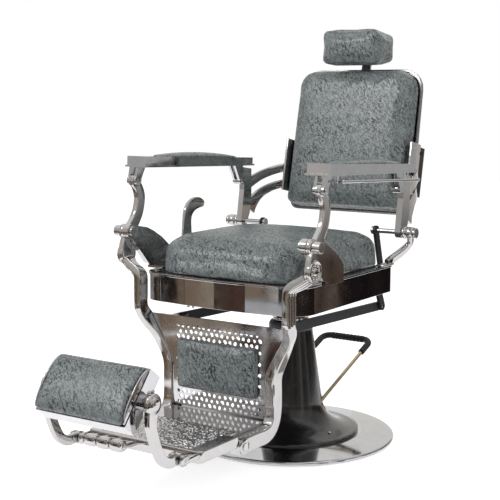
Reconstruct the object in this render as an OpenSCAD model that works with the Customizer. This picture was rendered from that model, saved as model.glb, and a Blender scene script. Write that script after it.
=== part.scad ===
// Barber chair with a pump base, reclining back, linked leg frame and flip-over leg rest.
// The origin is the centre of the base disc on the floor. The sitter faces -Y.

/* [Base] */
// Diameter of the round base disc
base_d = 600; // [540:10:680]
// Height of the rolled rim of the base disc
base_rim_h = 14; // [10:1:18]
// Thickness of the base disc sheet
base_sheet = 5; // [3:1:8]
// Height of the base disc top round the column
base_top_z = 22; // [20:1:30]
// Diameter of the column cover where it meets the disc
skirt_d = 394; // [340:2:420]
// Diameter of the column cover where its flare ends
neck_d = 182; // [176:2:200]
// Height where the flare of the column cover ends
neck_z = 118; // [110:1:130]
// Diameter of the column cover at its top
cover_top_d = 126; // [110:2:140]
// Height of the column cover's top edge
cover_top_z = 318; // [300:1:325]
// Sheet thickness of the column cover
cover_wall = 2.5; // [2:0.5:4]
// Height of the rounded cap on the column
cap_h = 27; // [20:1:30]
// Diameter of the pump cylinder
pump_d = 90; // [80:2:100]
// Diameter of the lifting ram
ram_d = 50; // [40:2:56]

/* [Pump lever] */
// Distance between the two rods of the pump lever
lever_span = 166; // [140:2:170]
// Diameter of the pump lever's rod
lever_rod_d = 11; // [8:1:14]
// Height of the pump lever's axle
lever_axle_z = 93; // [88:1:100]
// Length of the pump lever from axle to grip
lever_reach = 363; // [300:1:365]
// Upward angle of the pump lever
lever_rise = 22.4; // [18:0.2:24]
// Diameter of the rubber grip
grip_d = 19; // [15:1:22]

/* [Seat] */
// Half width of the seat cushion
seat_half_w = 235; // [220:1:240]
// Front edge of the seat cushion ahead of the column
seat_front = 350; // [320:1:360]
// Rear edge of the seat cushion behind the column
seat_rear = 109; // [90:1:112]
// Height of the seat cushion's underside
seat_z = 508.5; // [500:0.5:515]
// Height of the seat cushion's side
seat_side_h = 61; // [55:1:75]
// Rise of the seat cushion's crown
seat_crown = 30; // [20:1:36]
// Half width of the chromed apron
apron_half_w = 258; // [254:1:262]
// Height of the apron band
apron_h = 76; // [60:1:90]
// Sheet thickness of the apron
apron_wall = 4; // [3:0.5:6]

/* [Linkage] */
// Distance of the front pivots ahead of the column
front_pivot_y = 380; // [370:1:390]
// Height of the front pivots
front_pivot_z = 618; // [610:1:625]
// Distance of the rear pivots behind the column
rear_pivot_y = 147; // [140:1:155]
// Height of the rear pivots
rear_pivot_z = 600; // [595:1:605]
// Distance of the armrests' front pivots ahead of the column
arm_pivot_y = 339; // [335:1:342]
// Height of the armrests' front pivots
arm_pivot_z = 754; // [750:1:758]
// Distance of the armrests' rear pivots behind the column
arm_rear_y = 127.5; // [125:0.5:130]
// Height of the armrests' rear pivots
arm_rear_z = 724; // [720:1:728]
// Diameter of the pivot pins
pin_d = 14; // [12:1:16]
// Distance of the crank pin behind the rear pivot
crank_back = 89; // [80:1:95]
// Drop of the crank pin below the rear pivot
crank_drop = 236; // [225:1:240]
// Half distance between the black link bars
link_half_x = 162; // [155:1:166]
// Height of a link bar
link_h = 26; // [20:1:30]
// Thickness of a link bar
link_t = 8; // [6:1:10]

/* [Leg frame] */
// Thickness of a side iron's upper blade
iron_t = 14; // [12:1:16]
// Width of a side iron's upper blade
iron_w = 34; // [30:1:38]
// Thickness of the perforated leg panel
panel_t = 3; // [2:0.5:4]
// Height of the leg panel's top edge
panel_top_z = 398; // [390:1:400]
// Height of the leg panel's lower edge
panel_low_z = 148; // [145:1:170]
// Half width of the calf pad
calf_half_w = 130; // [110:1:134]
// Height of the calf pad
calf_h = 138; // [110:1:142]
// Half width of the foot plate
foot_half_w = 176; // [170:1:176]
// Front edge of the foot plate ahead of the column
foot_front = 680; // [660:1:690]
// Thickness of the foot plate's rim
foot_t = 30; // [24:1:34]

/* [Leg rest] */
// Half width of the leg rest cushion
rest_half_w = 134; // [120:1:134]
// Length of the leg rest cushion across its section
rest_l = 148; // [130:1:160]
// Depth of the leg rest tray
rest_tray_d = 42; // [36:1:46]
// Rise of the leg rest's round cushion
rest_crown = 21; // [12:1:30]
// Thickness of a yoke arm
yoke_t = 14; // [12:1:16]

/* [Back] */
// Lean of the back at rest
back_lean = 11.5; // [8:0.5:16]
// Half width of the back cushion at its foot
back_half_w = 209; // [196:1:212]
// Length of the back cushion
back_l = 436; // [400:1:440]
// Thickness of the back cushion's side
back_side_t = 59; // [50:1:62]
// Rise of the back cushion's crown
back_crown = 12; // [8:1:16]
// Thickness of the back shell
back_shell_t = 12; // [10:1:16]
// Half width of the headrest cushion
head_half_w = 100; // [90:1:106]
// Height of the headrest cushion
head_h = 110; // [100:1:116]
// Depth of the headrest cushion
head_depth = 140; // [120:1:146]
// Forward turn of the headrest against the back
head_tilt = 9.5; // [6:0.5:11]

/* [Armrests] */
// Length of an armrest behind its rear pivot
arm_tail = 35; // [30:1:40]
// Width of an armrest
arm_w = 65; // [60:1:68]
// Height of an armrest's bar at the front
arm_h = 25; // [22:1:28]
// Height of an armrest's bar at the rear
arm_h_rear = 19; // [16:1:22]
// Height of an armrest's top at the front
arm_top_z = 820; // [815:1:825]
// Fall of an armrest from front to rear
arm_fall = 3; // [2:0.5:4]
// Inward turn of an armrest from front to rear
arm_toe = 1.9; // [1:0.1:2.5]
// Diameter of the armrest pivot pins
arm_pin_d = 9; // [8:1:10]

/* [Hidden] */

// Overrun of every cut
over = 1;
// Gap between pieces that do not touch
gap = 0.3;
// Radial clearance of a pin in its hole
run_gap = 0.05;
$fn = 64;

chrome_col = [0.8, 0.8, 0.82];
leather_col = [0.42, 0.47, 0.5];
black_col = [0.12, 0.11, 0.11];
grey_col = [0.35, 0.36, 0.37];
wood_col = "burlywood";

// Points along an arc, from one angle to another
function arc(cx, cy, r, a0, a1, n) =
  [for (i = [0:n]) let (a = a0 + (a1 - a0) * i / n) [cx + r * cos(a), cy + r * sin(a)]];

// Unit normal to the left of the way from p to q
function left_of(p, q) = let (d = q - p) [-d[1], d[0]] / norm(d);

// Side points between two corners, drawn in towards the middle
function side(p, q, draw, n) =
  [for (i = [1:n]) let (t = i / (n + 1)) p + (q - p) * t + left_of(p, q) * draw * 4 * t * (1 - t)];

function corner(hw, hl, r, k, rear_r) =
  let (sx = (k == 0 || k == 3) ? 1 : -1, sy = k < 2 ? 1 : -1, q = k < 2 && rear_r > 0 ? rear_r : r)
  arc(sx * (hw - q), sy * (hl - q), q, 90 * k, 90 * k + 90, corner_steps);

// Rounded outline with four drawn-in sides: rear, one flank, front and the other flank
corner_steps = 5;
side_steps = 3;
function outline(hw, hl, r, draws, rear_r = 0) = [
  for (k = [0:3])
    let (c = corner(hw, hl, r, k, rear_r), d = corner(hw, hl, r, (k + 1) % 4, rear_r))
    each concat(c, side(c[corner_steps], d[0], draws[k], side_steps))
];

function shrink(pts, k) = [for (p = pts) p * (1 - k)];
function lift(pts, z) = [for (p = pts) [p[0], p[1], z]];

// Rings of a cushion: drawn-in foot, side, rounded shoulder and crown
shoulder_steps = 3;
crown_steps = 3;
function inset_outline(hw, hl, r, draws, rear_r, d) =
  outline(hw - d, hl - d, r - d, draws, rear_r > 0 ? rear_r - d : 0);
function pad_rings(hw, hl, r, side_h, shoulder, crown, tuck, draws, rear_r) = concat(
  [for (f = [[1, 0], [0.3, 0.25], [0, 0.6]])
    lift(inset_outline(hw, hl, r, draws, rear_r, tuck * f[0]), f[1] * (side_h - shoulder))],
  [for (i = [0:shoulder_steps])
    let (a = 90 * i / shoulder_steps, d = shoulder * (1 - cos(a)))
    lift(inset_outline(hw, hl, r, draws, rear_r, d), side_h - shoulder + shoulder * sin(a))],
  [for (i = [1:crown_steps])
    let (k = i / (crown_steps + 1))
    lift(shrink(inset_outline(hw, hl, r, draws, rear_r, shoulder), k),
      side_h + crown * (1 - pow(1 - k, 2)))]
);

// A closed skin over a stack of rings, from the foot's centre to the crown's
module skin(rings, foot, crown) {
  n = len(rings[0]);
  m = len(rings);
  walls = [for (i = [0:m - 2], j = [0:n - 1])
    [i * n + j, (i + 1) * n + j, (i + 1) * n + (j + 1) % n, i * n + (j + 1) % n]];
  top = [for (j = [0:n - 1]) [(m - 1) * n + (j + 1) % n, (m - 1) * n + j, m * n]];
  low = [for (j = [0:n - 1]) [j, (j + 1) % n, m * n + 1]];
  polyhedron(points = concat([for (g = rings) each g], [crown, foot]), faces = concat(walls, top, low));
}

// A closed cushion that stands on z = 0 and rises along +Z
module pad(hw, hl, r, side_h, shoulder, crown, tuck, draws = [0, 0, 0, 0], rear_r = 0) {
  skin(pad_rings(hw, hl, r, side_h, shoulder, crown, tuck, draws, rear_r), [0, 0, 0], [0, 0, side_h + crown]);
}

// A profile in the Y-Z plane, thickened along +X from x0
module slab(x0, t, pts) {
  translate([x0, 0, 0]) rotate([90, 0, 90]) linear_extrude(t) polygon(pts);
}

// A round bar along +X from x0
module bar(x0, t, y, z, d) {
  translate([x0, y, z]) rotate([0, 90, 0]) cylinder(h = t, d = d);
}

module on_side(s) {
  mirror([s < 0 ? 1 : 0, 0, 0]) children();
}

// A ribbon of even width along a path
function heading(path, i) =
  let (n = len(path) - 1, d = path[min(i + 1, n)] - path[max(i - 1, 0)]) d / norm(d);
function ribbon(path, w) = let (n = len(path) - 1) concat(
  [for (i = [0:n]) let (d = heading(path, i)) path[i] + [-d[1], d[0]] * w / 2],
  [for (i = [n:-1:0]) let (d = heading(path, i)) path[i] - [-d[1], d[0]] * w / 2]
);

// A thin upright section of a bent iron: place, thickness and width
module station(s) {
  translate([s[0], s[1], s[2]]) cube([s[3], s[4], section_h], center = true);
}
section_h = 1;

// A chain of bent sections
module chain(stations) {
  for (i = [0:len(stations) - 2]) hull() {
    station(stations[i]);
    station(stations[i + 1]);
  }
}

// Base
rim_r = base_rim_h / 2;
ring_w = 22;
hub_r = pump_d / 2 + gap;
skirt_lip = 8;
flare_steps = 8;
flange_d = pump_d * 1.8;
flange_h = 12;
pump_bolt_d = 12;
pump_bolt_head_d = 19;
pump_bolt_head_h = 8;
pump_bolt_r = (pump_d + flange_d) / 4;
pump_top_z = cover_top_z - 8;
slot_w = lever_rod_d + 3;
axle_d = 14;
axle_l = lever_span - lever_rod_d - 4;
eye_d = 26;
screw_d = 7;
screw_h = 3;
screw_r = skirt_d / 2 * 0.78;

module base_disc() {
  color(chrome_col) union() {
    rotate_extrude($fn = 128) polygon([
      [hub_r, base_top_z - base_sheet],
      [hub_r, base_top_z],
      [skirt_d / 2 + skirt_lip, base_top_z],
      [base_d / 2 - rim_r, base_rim_h],
      [base_d / 2 - rim_r, base_rim_h - base_sheet],
      [skirt_d / 2 + skirt_lip, base_top_z - base_sheet]
    ]);
    rotate_extrude($fn = 128) translate([base_d / 2 - rim_r, rim_r]) circle(r = rim_r);
  }
}

// Height of the disc's underside at a radius
function disc_under(r) =
  base_rim_h - base_sheet
  + (base_top_z - base_rim_h) * (base_d / 2 - rim_r - r) / (base_d / 2 - rim_r - skirt_d / 2 - skirt_lip);

module base_ring() {
  outer = base_d / 2 - base_rim_h - gap;
  inner = outer - ring_w;
  color(black_col) rotate_extrude($fn = 96)
    polygon([[inner, 0], [outer, 0], [outer, disc_under(outer)], [inner, disc_under(inner)]]);
}

module pump_cylinder() {
  color(black_col) difference() {
    union() {
      translate([0, 0, base_top_z]) cylinder(h = flange_h, d = flange_d);
      cylinder(h = pump_top_z, d = pump_d);
      bar(-axle_l / 2 + eye_d / 2, axle_l - eye_d, 0, lever_axle_z, eye_d);
    }
    translate([0, 0, base_top_z]) cylinder(h = pump_top_z, d = ram_d + 2 * run_gap);
    for (i = [0:3]) rotate(90 * i + 45) translate([pump_bolt_r, 0, base_top_z - over])
      cylinder(h = flange_h + 2 * over, d = pump_bolt_d + 2 * run_gap, $fn = 32);
    bar(-axle_l / 2, axle_l, 0, lever_axle_z, axle_d + 2 * run_gap);
  }
}

module pump_bolts() {
  color(chrome_col) for (i = [0:3]) rotate(90 * i + 45) translate([pump_bolt_r, 0, base_top_z]) {
    cylinder(h = flange_h, d = pump_bolt_d, $fn = 32);
    translate([0, 0, flange_h]) cylinder(h = pump_bolt_head_h, d = pump_bolt_head_d, $fn = 6);
  }
}

// Outer profile of the column cover, moved in by the wall when wanted
function cover_profile(inset) = concat(
  [for (i = [0:flare_steps]) let (a = 90 * (1 - i / flare_steps))
    [skirt_d / 2 - (skirt_d - neck_d) / 2 * cos(a) - inset * (1 + 0.1 * cos(a)),
     neck_z - (neck_z - base_top_z - skirt_lip) * sin(a) - inset * sin(a)]],
  [[cover_top_d / 2 - inset, cover_top_z]]
);

module column_cover() {
  outer = concat([[skirt_d / 2, base_top_z]], cover_profile(0));
  inner = concat([[skirt_d / 2 - cover_wall, base_top_z]], cover_profile(cover_wall));
  n = len(inner) - 1;
  color(black_col) difference() {
    rotate_extrude($fn = 128) polygon(concat(outer, [for (i = [n:-1:0]) inner[i]]));
    for (s = [-1, 1]) translate([s * lever_span / 2, 0, lever_axle_z]) rotate([lever_rise, 0, 0])
      translate([-slot_w / 2, 0, -slot_w - lever_axle_z / 4])
        cube([slot_w, lever_reach / 2, slot_w * 1.8 + lever_axle_z / 4]);
    screw_places() cylinder(h = base_top_z * 4, d = screw_d * 0.6, center = true, $fn = 24);
  }
}

// Places on the flare, square to its surface
module screw_places() {
  w = (skirt_d - neck_d) / 2;
  h = neck_z - base_top_z - skirt_lip;
  a = acos((skirt_d / 2 - screw_r) / w);
  for (i = [0:3]) rotate(90 * i - 12) translate([screw_r, 0, neck_z - h * sin(a)])
    rotate([0, atan2(h * cos(a), w * sin(a)), 0]) children();
}

module column_cap() {
  color(grey_col) difference() {
    rotate_extrude($fn = 96) polygon(concat(
      [[0, cover_top_z], [cover_top_d / 2, cover_top_z]],
      arc(cover_top_d / 2 - cap_h / 2, cover_top_z + cap_h / 2, cap_h / 2, 0, 90, 6),
      [[0, cover_top_z + cap_h]]
    ));
    translate([0, 0, cover_top_z - over]) cylinder(h = cap_h + 2 * over, d = ram_d + 2 * gap);
  }
}

module cover_screws() {
  color(chrome_col) screw_places() {
    translate([0, 0, 2 * gap]) cylinder(h = screw_h, d = screw_d, $fn = 24);
    translate([0, 0, -cover_wall * 2]) cylinder(h = cover_wall * 2 + 3 * gap, d = screw_d * 0.5, $fn = 24);
  }
}

module lever_axle() {
  color(chrome_col) bar(-axle_l / 2, axle_l, 0, lever_axle_z, axle_d);
}

// Pump lever
lever_bend = 26;
grip_leg = 42;
grip_rib = 1;
grip_ribs = 9;
lever_eye_w = 12;

module at_lever() {
  translate([0, 0, lever_axle_z]) rotate([lever_rise, 0, 0]) children();
}

// A half loop of rod: two legs, two bends and the bar between them
module lever_loop(leg, d) {
  half = lever_span / 2;
  for (s = [-1, 1]) {
    translate([s * half, lever_reach - lever_bend, 0]) rotate([90, 0, 0]) cylinder(h = leg, d = d);
    translate([s * (half - lever_bend), lever_reach - lever_bend, 0]) rotate([0, 0, s > 0 ? 0 : 90])
      rotate_extrude(angle = 90) translate([lever_bend, 0]) circle(d = d);
  }
  bar(-half + lever_bend, lever_span - 2 * lever_bend, lever_reach, 0, d);
}

module pump_lever() {
  half = lever_span / 2;
  eye_x = axle_l / 2 - lever_eye_w;
  color(chrome_col) at_lever() difference() {
    union() {
      lever_loop(lever_reach - lever_bend, lever_rod_d);
      for (s = [-1, 1]) on_side(s) bar(eye_x, half - eye_x + lever_rod_d / 2, 0, 0, eye_d - 2);
    }
    bar(-axle_l / 2 - over, axle_l + 2 * over, 0, 0, axle_d + 2 * run_gap);
  }
}

module pump_grip() {
  color(black_col) at_lever() difference() {
    union() {
      lever_loop(grip_leg, grip_d);
      for (i = [0:grip_ribs - 1])
        bar(-lever_span / 2 + lever_bend + (lever_span - 2 * lever_bend) * (i + 0.25) / grip_ribs,
          (lever_span - 2 * lever_bend) / grip_ribs / 2, lever_reach, 0, grip_d + 2 * grip_rib);
    }
    lever_loop(grip_leg + over, lever_rod_d + 2 * run_gap);
  }
}

// Ram and swivel
ram_foot_z = lever_axle_z + eye_d;
cap_top_z = cover_top_z + cap_h;
ram_flange_h = 8;
ram_flange_d = 104;
hub_z = cap_top_z + 2 + ram_flange_h;
hub_d = 84;
spigot_d = 34;
spider_h = 12;
spider_w = 50;
board_t = 16;
spider_z = seat_z - board_t - spider_h;

module ram() {
  color(chrome_col) union() {
    translate([0, 0, ram_foot_z]) cylinder(h = hub_z - ram_foot_z, d = ram_d);
    translate([0, 0, cap_top_z + 2]) cylinder(h = ram_flange_h, d = ram_flange_d);
    translate([0, 0, hub_z]) cylinder(h = spider_z - hub_z, d = spigot_d);
  }
}

module swivel_hub() {
  color(black_col) difference() {
    translate([0, 0, hub_z + gap]) cylinder(h = spider_z - hub_z - gap, d = hub_d);
    translate([0, 0, hub_z]) cylinder(h = spider_z - hub_z + over, d = spigot_d + 2 * run_gap);
  }
}

// Seat frame
apron_top_z = seat_z - gap;
apron_lip = 5;
apron_front = seat_front + 17;
apron_rear = 130;
apron_open_x = 240;
apron_r = 66;
apron_rear_r = 14;
apron_mid = (apron_rear - apron_front) / 2;
apron_half_l = (apron_rear + apron_front) / 2;
apron_bow = 12;
crank_x = 190;
crank_t = 8;

function apron_outline(inset) =
  [for (p = outline(apron_half_w - inset, apron_half_l - inset, apron_r - inset,
    [0, 0, -apron_bow, 0], apron_rear_r - inset)) p + [0, apron_mid]];

module seat_spider() {
  inner = apron_half_w - apron_wall - gap;
  front = apron_front - apron_wall - gap;
  color(black_col) difference() {
    translate([0, 0, spider_z]) union() {
      translate([-inner, -spider_w / 2, 0]) cube([2 * inner, spider_w, spider_h]);
      translate([-spider_w / 2, -front, 0]) cube([spider_w, front + seat_rear * 0.8, spider_h]);
    }
    translate([0, 0, spider_z - over]) cylinder(h = over * 2, d = spigot_d);
  }
}

module seat_board() {
  color(wood_col) translate([0, (seat_rear - seat_front) / 2, spider_z + spider_h])
    linear_extrude(board_t) polygon(outline(
      seat_half_w - board_t, (seat_rear + seat_front) / 2 - board_t, apron_r - board_t, [0, 0, 0, 0]));
}

module seat_apron() {
  color(chrome_col) difference() {
    union() {
      translate([0, 0, apron_top_z - apron_h]) linear_extrude(apron_h) difference() {
        polygon(apron_outline(0));
        polygon(apron_outline(apron_wall));
      }
      translate([0, 0, apron_top_z - apron_lip]) linear_extrude(apron_lip) difference() {
        polygon(apron_outline(-apron_lip / 2));
        polygon(apron_outline(board_t + gap));
      }
    }
    translate([-apron_open_x, apron_rear - apron_r, apron_top_z - apron_h - over])
      cube([2 * apron_open_x, 2 * apron_r, apron_h + 2 * over]);
  }
}

apron_pin_d = 7;
apron_pin_h = 14;
apron_pin_x = 104;
apron_pin_step = 16;

module apron_pins() {
  y = apron_front - apron_bow - apron_wall - apron_pin_d * 3;
  low = apron_top_z - apron_h - apron_pin_h;
  high = seat_z - board_t - gap;
  color(chrome_col) for (i = [0, 1]) translate([-apron_pin_x - i * apron_pin_step, -y, 0]) {
    translate([0, 0, low]) cylinder(h = high - low, d = apron_pin_d, $fn = 24);
    translate([0, 0, high - apron_lip]) cylinder(h = apron_lip, d = apron_pin_d * 3, $fn = 24);
  }
}

seat_r = 90;
seat_rear_r = 30;
seat_shoulder = 20;
seat_tuck = 6;

module seat_cushion() {
  color(leather_col) translate([0, (seat_rear - seat_front) / 2, seat_z + gap])
    pad(seat_half_w, (seat_rear + seat_front) / 2, seat_r, seat_side_h + seat_shoulder, seat_shoulder,
      seat_crown, seat_tuck, [2, 1, -apron_bow * 0.6, 1], seat_rear_r);
}

// Pivots
iron_x = 289;
front_boss_r = 20;
bracket_t = 17;
bracket_x = iron_x - gap - bracket_t;
foot_h = 7;
bracket_foot_l = 174;
head_l = 22;
head_d = 30;
strap_x = 262;
strap_t = 18;
rear_boss_r = 17;
rear_boss_x = strap_x + strap_t + gap;
rear_boss_t = 34;
rear_head_t = 8;

// Shares of the way from the front pivot to the rear end of the bracket's foot
bracket_shares = [[0.37, -0.055], [0.54, 0.06], [0.75, 0.25], [0.91, 0.45], [1, 0.6], [1, 1], [0.72, 1],
  [0.57, 0.96], [0.4, 0.86], [0.25, 0.6], [0.1, 0.35], [0, 0.15]];

module front_bracket(s) {
  drop = front_pivot_z - apron_top_z - gap;
  pts = concat(
    [[-front_pivot_y, front_pivot_z + front_boss_r * 0.9]],
    [for (k = bracket_shares) [-front_pivot_y + bracket_foot_l * k[0], front_pivot_z - drop * k[1]]]
  );
  color(chrome_col) on_side(s) difference() {
    union() {
      slab(bracket_x, bracket_t, pts);
      bar(bracket_x, bracket_t, -front_pivot_y, front_pivot_z, 2 * front_boss_r);
      translate([seat_half_w + 2, -front_pivot_y + bracket_foot_l * 0.5, apron_top_z])
        cube([bracket_x + bracket_t - seat_half_w - 2, bracket_foot_l * 0.43, foot_h]);
    }
    bar(bracket_x - over, bracket_t + 2 * over, -front_pivot_y, front_pivot_z, pin_d + 2 * run_gap);
  }
}

module front_bracket_left() { front_bracket(1); }
module front_bracket_right() { front_bracket(-1); }

module front_pins() {
  color(chrome_col) for (s = [-1, 1]) on_side(s) {
    bar(bracket_x - rear_head_t, rear_head_t - gap, -front_pivot_y, front_pivot_z, head_d);
    bar(bracket_x - rear_head_t, iron_x + iron_t + gap + rear_head_t - bracket_x,
      -front_pivot_y, front_pivot_z, pin_d);
    bar(iron_x + iron_t + gap, head_l, -front_pivot_y, front_pivot_z, head_d);
  }
}

// Stations of the rear bracket: place, thickness and width, from the boss to the apron
rear_root = [rear_boss_x + rear_boss_t / 2, rear_pivot_y, rear_pivot_z];
rear_seat = [apron_half_w - 11, rear_pivot_y - 29, apron_top_z + foot_h / 2];
function rear_way(k, back) =
  [rear_root[0] + (rear_seat[0] - rear_root[0]) * k[0],
   rear_root[1] + (rear_seat[1] - rear_root[1]) * k[1] + back * k[3],
   rear_root[2] + (rear_seat[2] - rear_root[2]) * k[2]];
// Shares of the way in X, Y and Z, then of the rearward bulge
rear_way_shares = [[0, 0, 0.12, 0.5], [0.13, 0.05, 0.26, 1.25], [0.29, 0.15, 0.44, 1.6], [0.53, 0.35, 0.62, 1.35],
  [0.77, 0.6, 0.78, 0.95], [0.94, 0.82, 0.9, 0.5], [1, 1, 1, 0]];
rear_bulge = 22;
bracket_w = 26;

module rear_bracket(s) {
  color(chrome_col) on_side(s) difference() {
    union() {
      bar(rear_boss_x, rear_boss_t, rear_pivot_y, rear_pivot_z, 2 * rear_boss_r);
      chain([for (k = rear_way_shares) concat(rear_way(k, rear_bulge), [bracket_w * 0.6, bracket_w])]);
      translate([seat_half_w + 2, rear_seat[1] - bracket_w * 2, apron_top_z])
        cube([rear_seat[0] + bracket_w * 0.7 - seat_half_w - 2, bracket_w * 2.3, foot_h]);
    }
    bar(rear_boss_x - over, rear_boss_t + 2 * over, rear_pivot_y, rear_pivot_z, pin_d + 2 * run_gap);
  }
}

module rear_bracket_left() { rear_bracket(1); }
module rear_bracket_right() { rear_bracket(-1); }

// Recline lever, on the sitter's right
lever_pivot_y = 150;
lever_pivot_z = 468;
lever_x = apron_half_w + apron_lip / 2 + gap;
lever_boss_t = 3;
lever_t = 7;
lever_w = 24;
lever_boss_d = 34;
lever_top = 686;
// Shares of the lever's height, with how far back it reaches there
lever_shares = [[0, 0], [0.25, 0], [0.5, -0.02], [0.72, 0], [0.86, 0.05], [0.95, 0.14], [0.985, 0.26],
  [0.985, 0.38]];

module lever_bracket() {
  color(chrome_col) on_side(-1) union() {
    bar(apron_half_w + gap, lever_x - apron_half_w - gap + lever_boss_t,
      -lever_pivot_y, lever_pivot_z, lever_boss_d);
    bar(lever_x, lever_boss_t + lever_t + gap, -lever_pivot_y, lever_pivot_z, pin_d);
    bar(lever_x + lever_boss_t + lever_t + 2 * gap, rear_head_t, -lever_pivot_y, lever_pivot_z, head_d * 0.8);
  }
}

module recline_lever() {
  h = lever_top - lever_pivot_z;
  path = [for (k = lever_shares) [-lever_pivot_y + h * k[1], lever_pivot_z + h * k[0]]];
  n = len(path) - 1;
  color(chrome_col) on_side(-1) difference() {
    union() {
      slab(lever_x + lever_boss_t + gap, lever_t, ribbon(path, lever_w));
      bar(lever_x + lever_boss_t + gap, lever_t, -lever_pivot_y, lever_pivot_z, lever_boss_d);
      bar(lever_x + lever_boss_t + gap, lever_t, path[n][0], path[n][1], lever_w);
    }
    bar(lever_x, lever_boss_t + lever_t + 2 * over, -lever_pivot_y, lever_pivot_z, pin_d + 2 * run_gap);
  }
}

// Leg frame
arm_pivot = [-arm_pivot_y, arm_pivot_z];
arm_rear_pivot = [arm_rear_y, arm_rear_z];
open_gap = 2;
scroll_r = 30;
scroll_proud = 3;
scroll_y = -372;
scroll_z = 556;
flute_d = 5;

// Blade path from the armrest pivot down to the scroll, as shares of that way
blade_shares = [[0, 0], [0.38, 0.08], [0.63, 0.19], [0.64, 0.3], [0.52, 0.4], [0.2, 0.5], [-0.25, 0.6],
  [-0.68, 0.7], [-1.08, 0.8], [-1.2, 0.92], [-1.05, 1]];
blade_w = iron_w;
function blade_path() = [for (k = blade_shares)
  [arm_pivot[0] + blade_w * k[0], arm_pivot[1] + (scroll_z - arm_pivot[1]) * k[1]]];

// Places of the posts: X, front-to-back and height of the bends
post_x = 236;
post_y = -388;
post_high_z = 498;
post_low_z = 415;
foot_x = 165;
foot_y = -347;
foot_iron_t = 30;
foot_iron_w = 40;
foot_high_z = 268;
heel_z = 175;
blade_mid_x = iron_x + iron_t / 2;
post_t = iron_t * 1.5;
post_w = iron_w + 2;

// Sections of a bend, as shares of the way between its two ends in X, Y and Z
function bend(a, b, shares) = [for (k = shares) [for (i = [0:4]) a[i] + (b[i] - a[i]) * k[min(i, 3)]]];
high_shares = [[0, 0, 0, 0], [0.12, 0.25, 0.3, 0.5], [0.75, 0.6, 0.66, 0.8], [1, 1, 1, 1]];
low_shares = [[0, 0, 0, 0], [0.15, 0.5, 0.22, 0.25], [0.48, 0.88, 0.48, 0.5], [0.83, 1, 0.8, 0.85],
  [1, 1, 1, 1]];
kink_high = bend(
  [blade_mid_x, scroll_y, scroll_z, iron_t, scroll_r * 1.5],
  [post_x, post_y, post_high_z, post_t, post_w], high_shares);
kink_low = bend(
  [post_x, post_y, post_low_z, post_t, post_w],
  [foot_x, foot_y, foot_high_z, foot_iron_t, foot_iron_w], low_shares);

// An upright post with three flutes down its outer face
module post(x, y, t, w, z0, z1) {
  translate([x - t / 2, y - w / 2, z0]) cube([t, w, z1 - z0]);
  for (k = [-1, 0, 1]) translate([x + t / 2, y + k * w * 0.3, z0 + flute_d])
    cylinder(h = z1 - z0 - 2 * flute_d, d = flute_d, $fn = 24);
}

bolt_y = -502;
bolt_z = 125;
toe_top_z = 145;
toe_y = -524;
sole_z = 105;
heel_r = 40;
bolt_d = 10;

module side_iron(s) {
  rear = foot_y + foot_iron_w / 2;
  front = foot_y - foot_iron_w / 2;
  foot_pts = concat(
    [[rear, heel_z + over], [rear, sole_z + heel_r]],
    arc(rear - heel_r, sole_z + heel_r, heel_r, 0, -90, 6),
    [[toe_y, sole_z], [toe_y, toe_top_z], [bolt_y, toe_top_z]],
    arc(front - heel_r, toe_top_z + heel_r, heel_r, -90, 0, 6),
    [[front, heel_z + over]]
  );
  color(chrome_col) on_side(s) difference() {
    union() {
      slab(iron_x, iron_t, ribbon(blade_path(), blade_w));
      bar(iron_x, iron_t, -front_pivot_y, front_pivot_z, 2 * front_boss_r);
      bar(iron_x, iron_t, arm_pivot[0], arm_pivot[1], blade_w);
      bar(iron_x, iron_t + scroll_proud, scroll_y, scroll_z, 2 * scroll_r);
      chain(kink_high);
      post(post_x, post_y, post_t, post_w, post_low_z, post_high_z);
      chain(kink_low);
      post(foot_x, foot_y, foot_iron_t, foot_iron_w, heel_z, foot_high_z);
      slab(foot_x - foot_iron_t / 2, foot_iron_t, foot_pts);
    }
    bar(iron_x - over, iron_t + 2 * over, -front_pivot_y, front_pivot_z, pin_d + 2 * run_gap);
    bar(iron_x - over, iron_t + 2 * over, arm_pivot[0], arm_pivot[1], arm_pin_d + 2 * open_gap);
    bar(foot_x - foot_iron_t, foot_iron_t * 2, bolt_y, bolt_z, bolt_d + 2 * run_gap);
  }
}

module side_iron_left() { side_iron(1); }
module side_iron_right() { side_iron(-1); }

// Leg panel between the irons, with a field of pebble-shaped holes round the calf pad
panel_y = -360;
panel_gap = 2;
hole_pitch = 17;
row_pitch = hole_pitch * 0.88;
hole_size = 13;
hole_shift = 0.7;
field_half_w = 142;
field_top_z = 384;
field_low_z = 156;
calf_z = 204;
hole_points = 7;

// Half width of the panel at the heights of the lower irons, and at any height between them
function inner_x(k) = kink_low[k][0] - kink_low[k][3] / 2 - panel_gap;
function inner_at(z) = lookup(z, [for (k = kink_low) [k[2], k[0] - k[3] / 2]]) - panel_gap;
panel_right = [
  [inner_x(4), panel_low_z], [inner_x(4), kink_low[4][2]], [inner_x(3), kink_low[3][2]],
  [inner_x(2), kink_low[2][2]], [inner_x(1), kink_low[1][2]], [inner_at(panel_top_z), panel_top_z]
];
panel_pts = concat(panel_right,
  [for (i = [len(panel_right) - 1:-1:0]) [-panel_right[i][0], panel_right[i][1]]]);

// A steady scatter between -1 and 1
function scatter(i, j, seed) = sin((i * 127.1 + j * 311.7 + seed * 74.7) * 57.3);

function pebble(cx, cz, i, j) = [for (k = [0:hole_points - 1])
  let (a = 360 * (k + 0.3 * scatter(i + k, j, 5)) / hole_points,
       r = hole_size / 2 * (1 - 0.2 * abs(scatter(i, j, 8)) + 0.12 * scatter(i, j + k, 9)))
  [cx + r * cos(a) * (1 + 0.1 * scatter(i, j, 3)), cz + r * sin(a)]];

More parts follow.
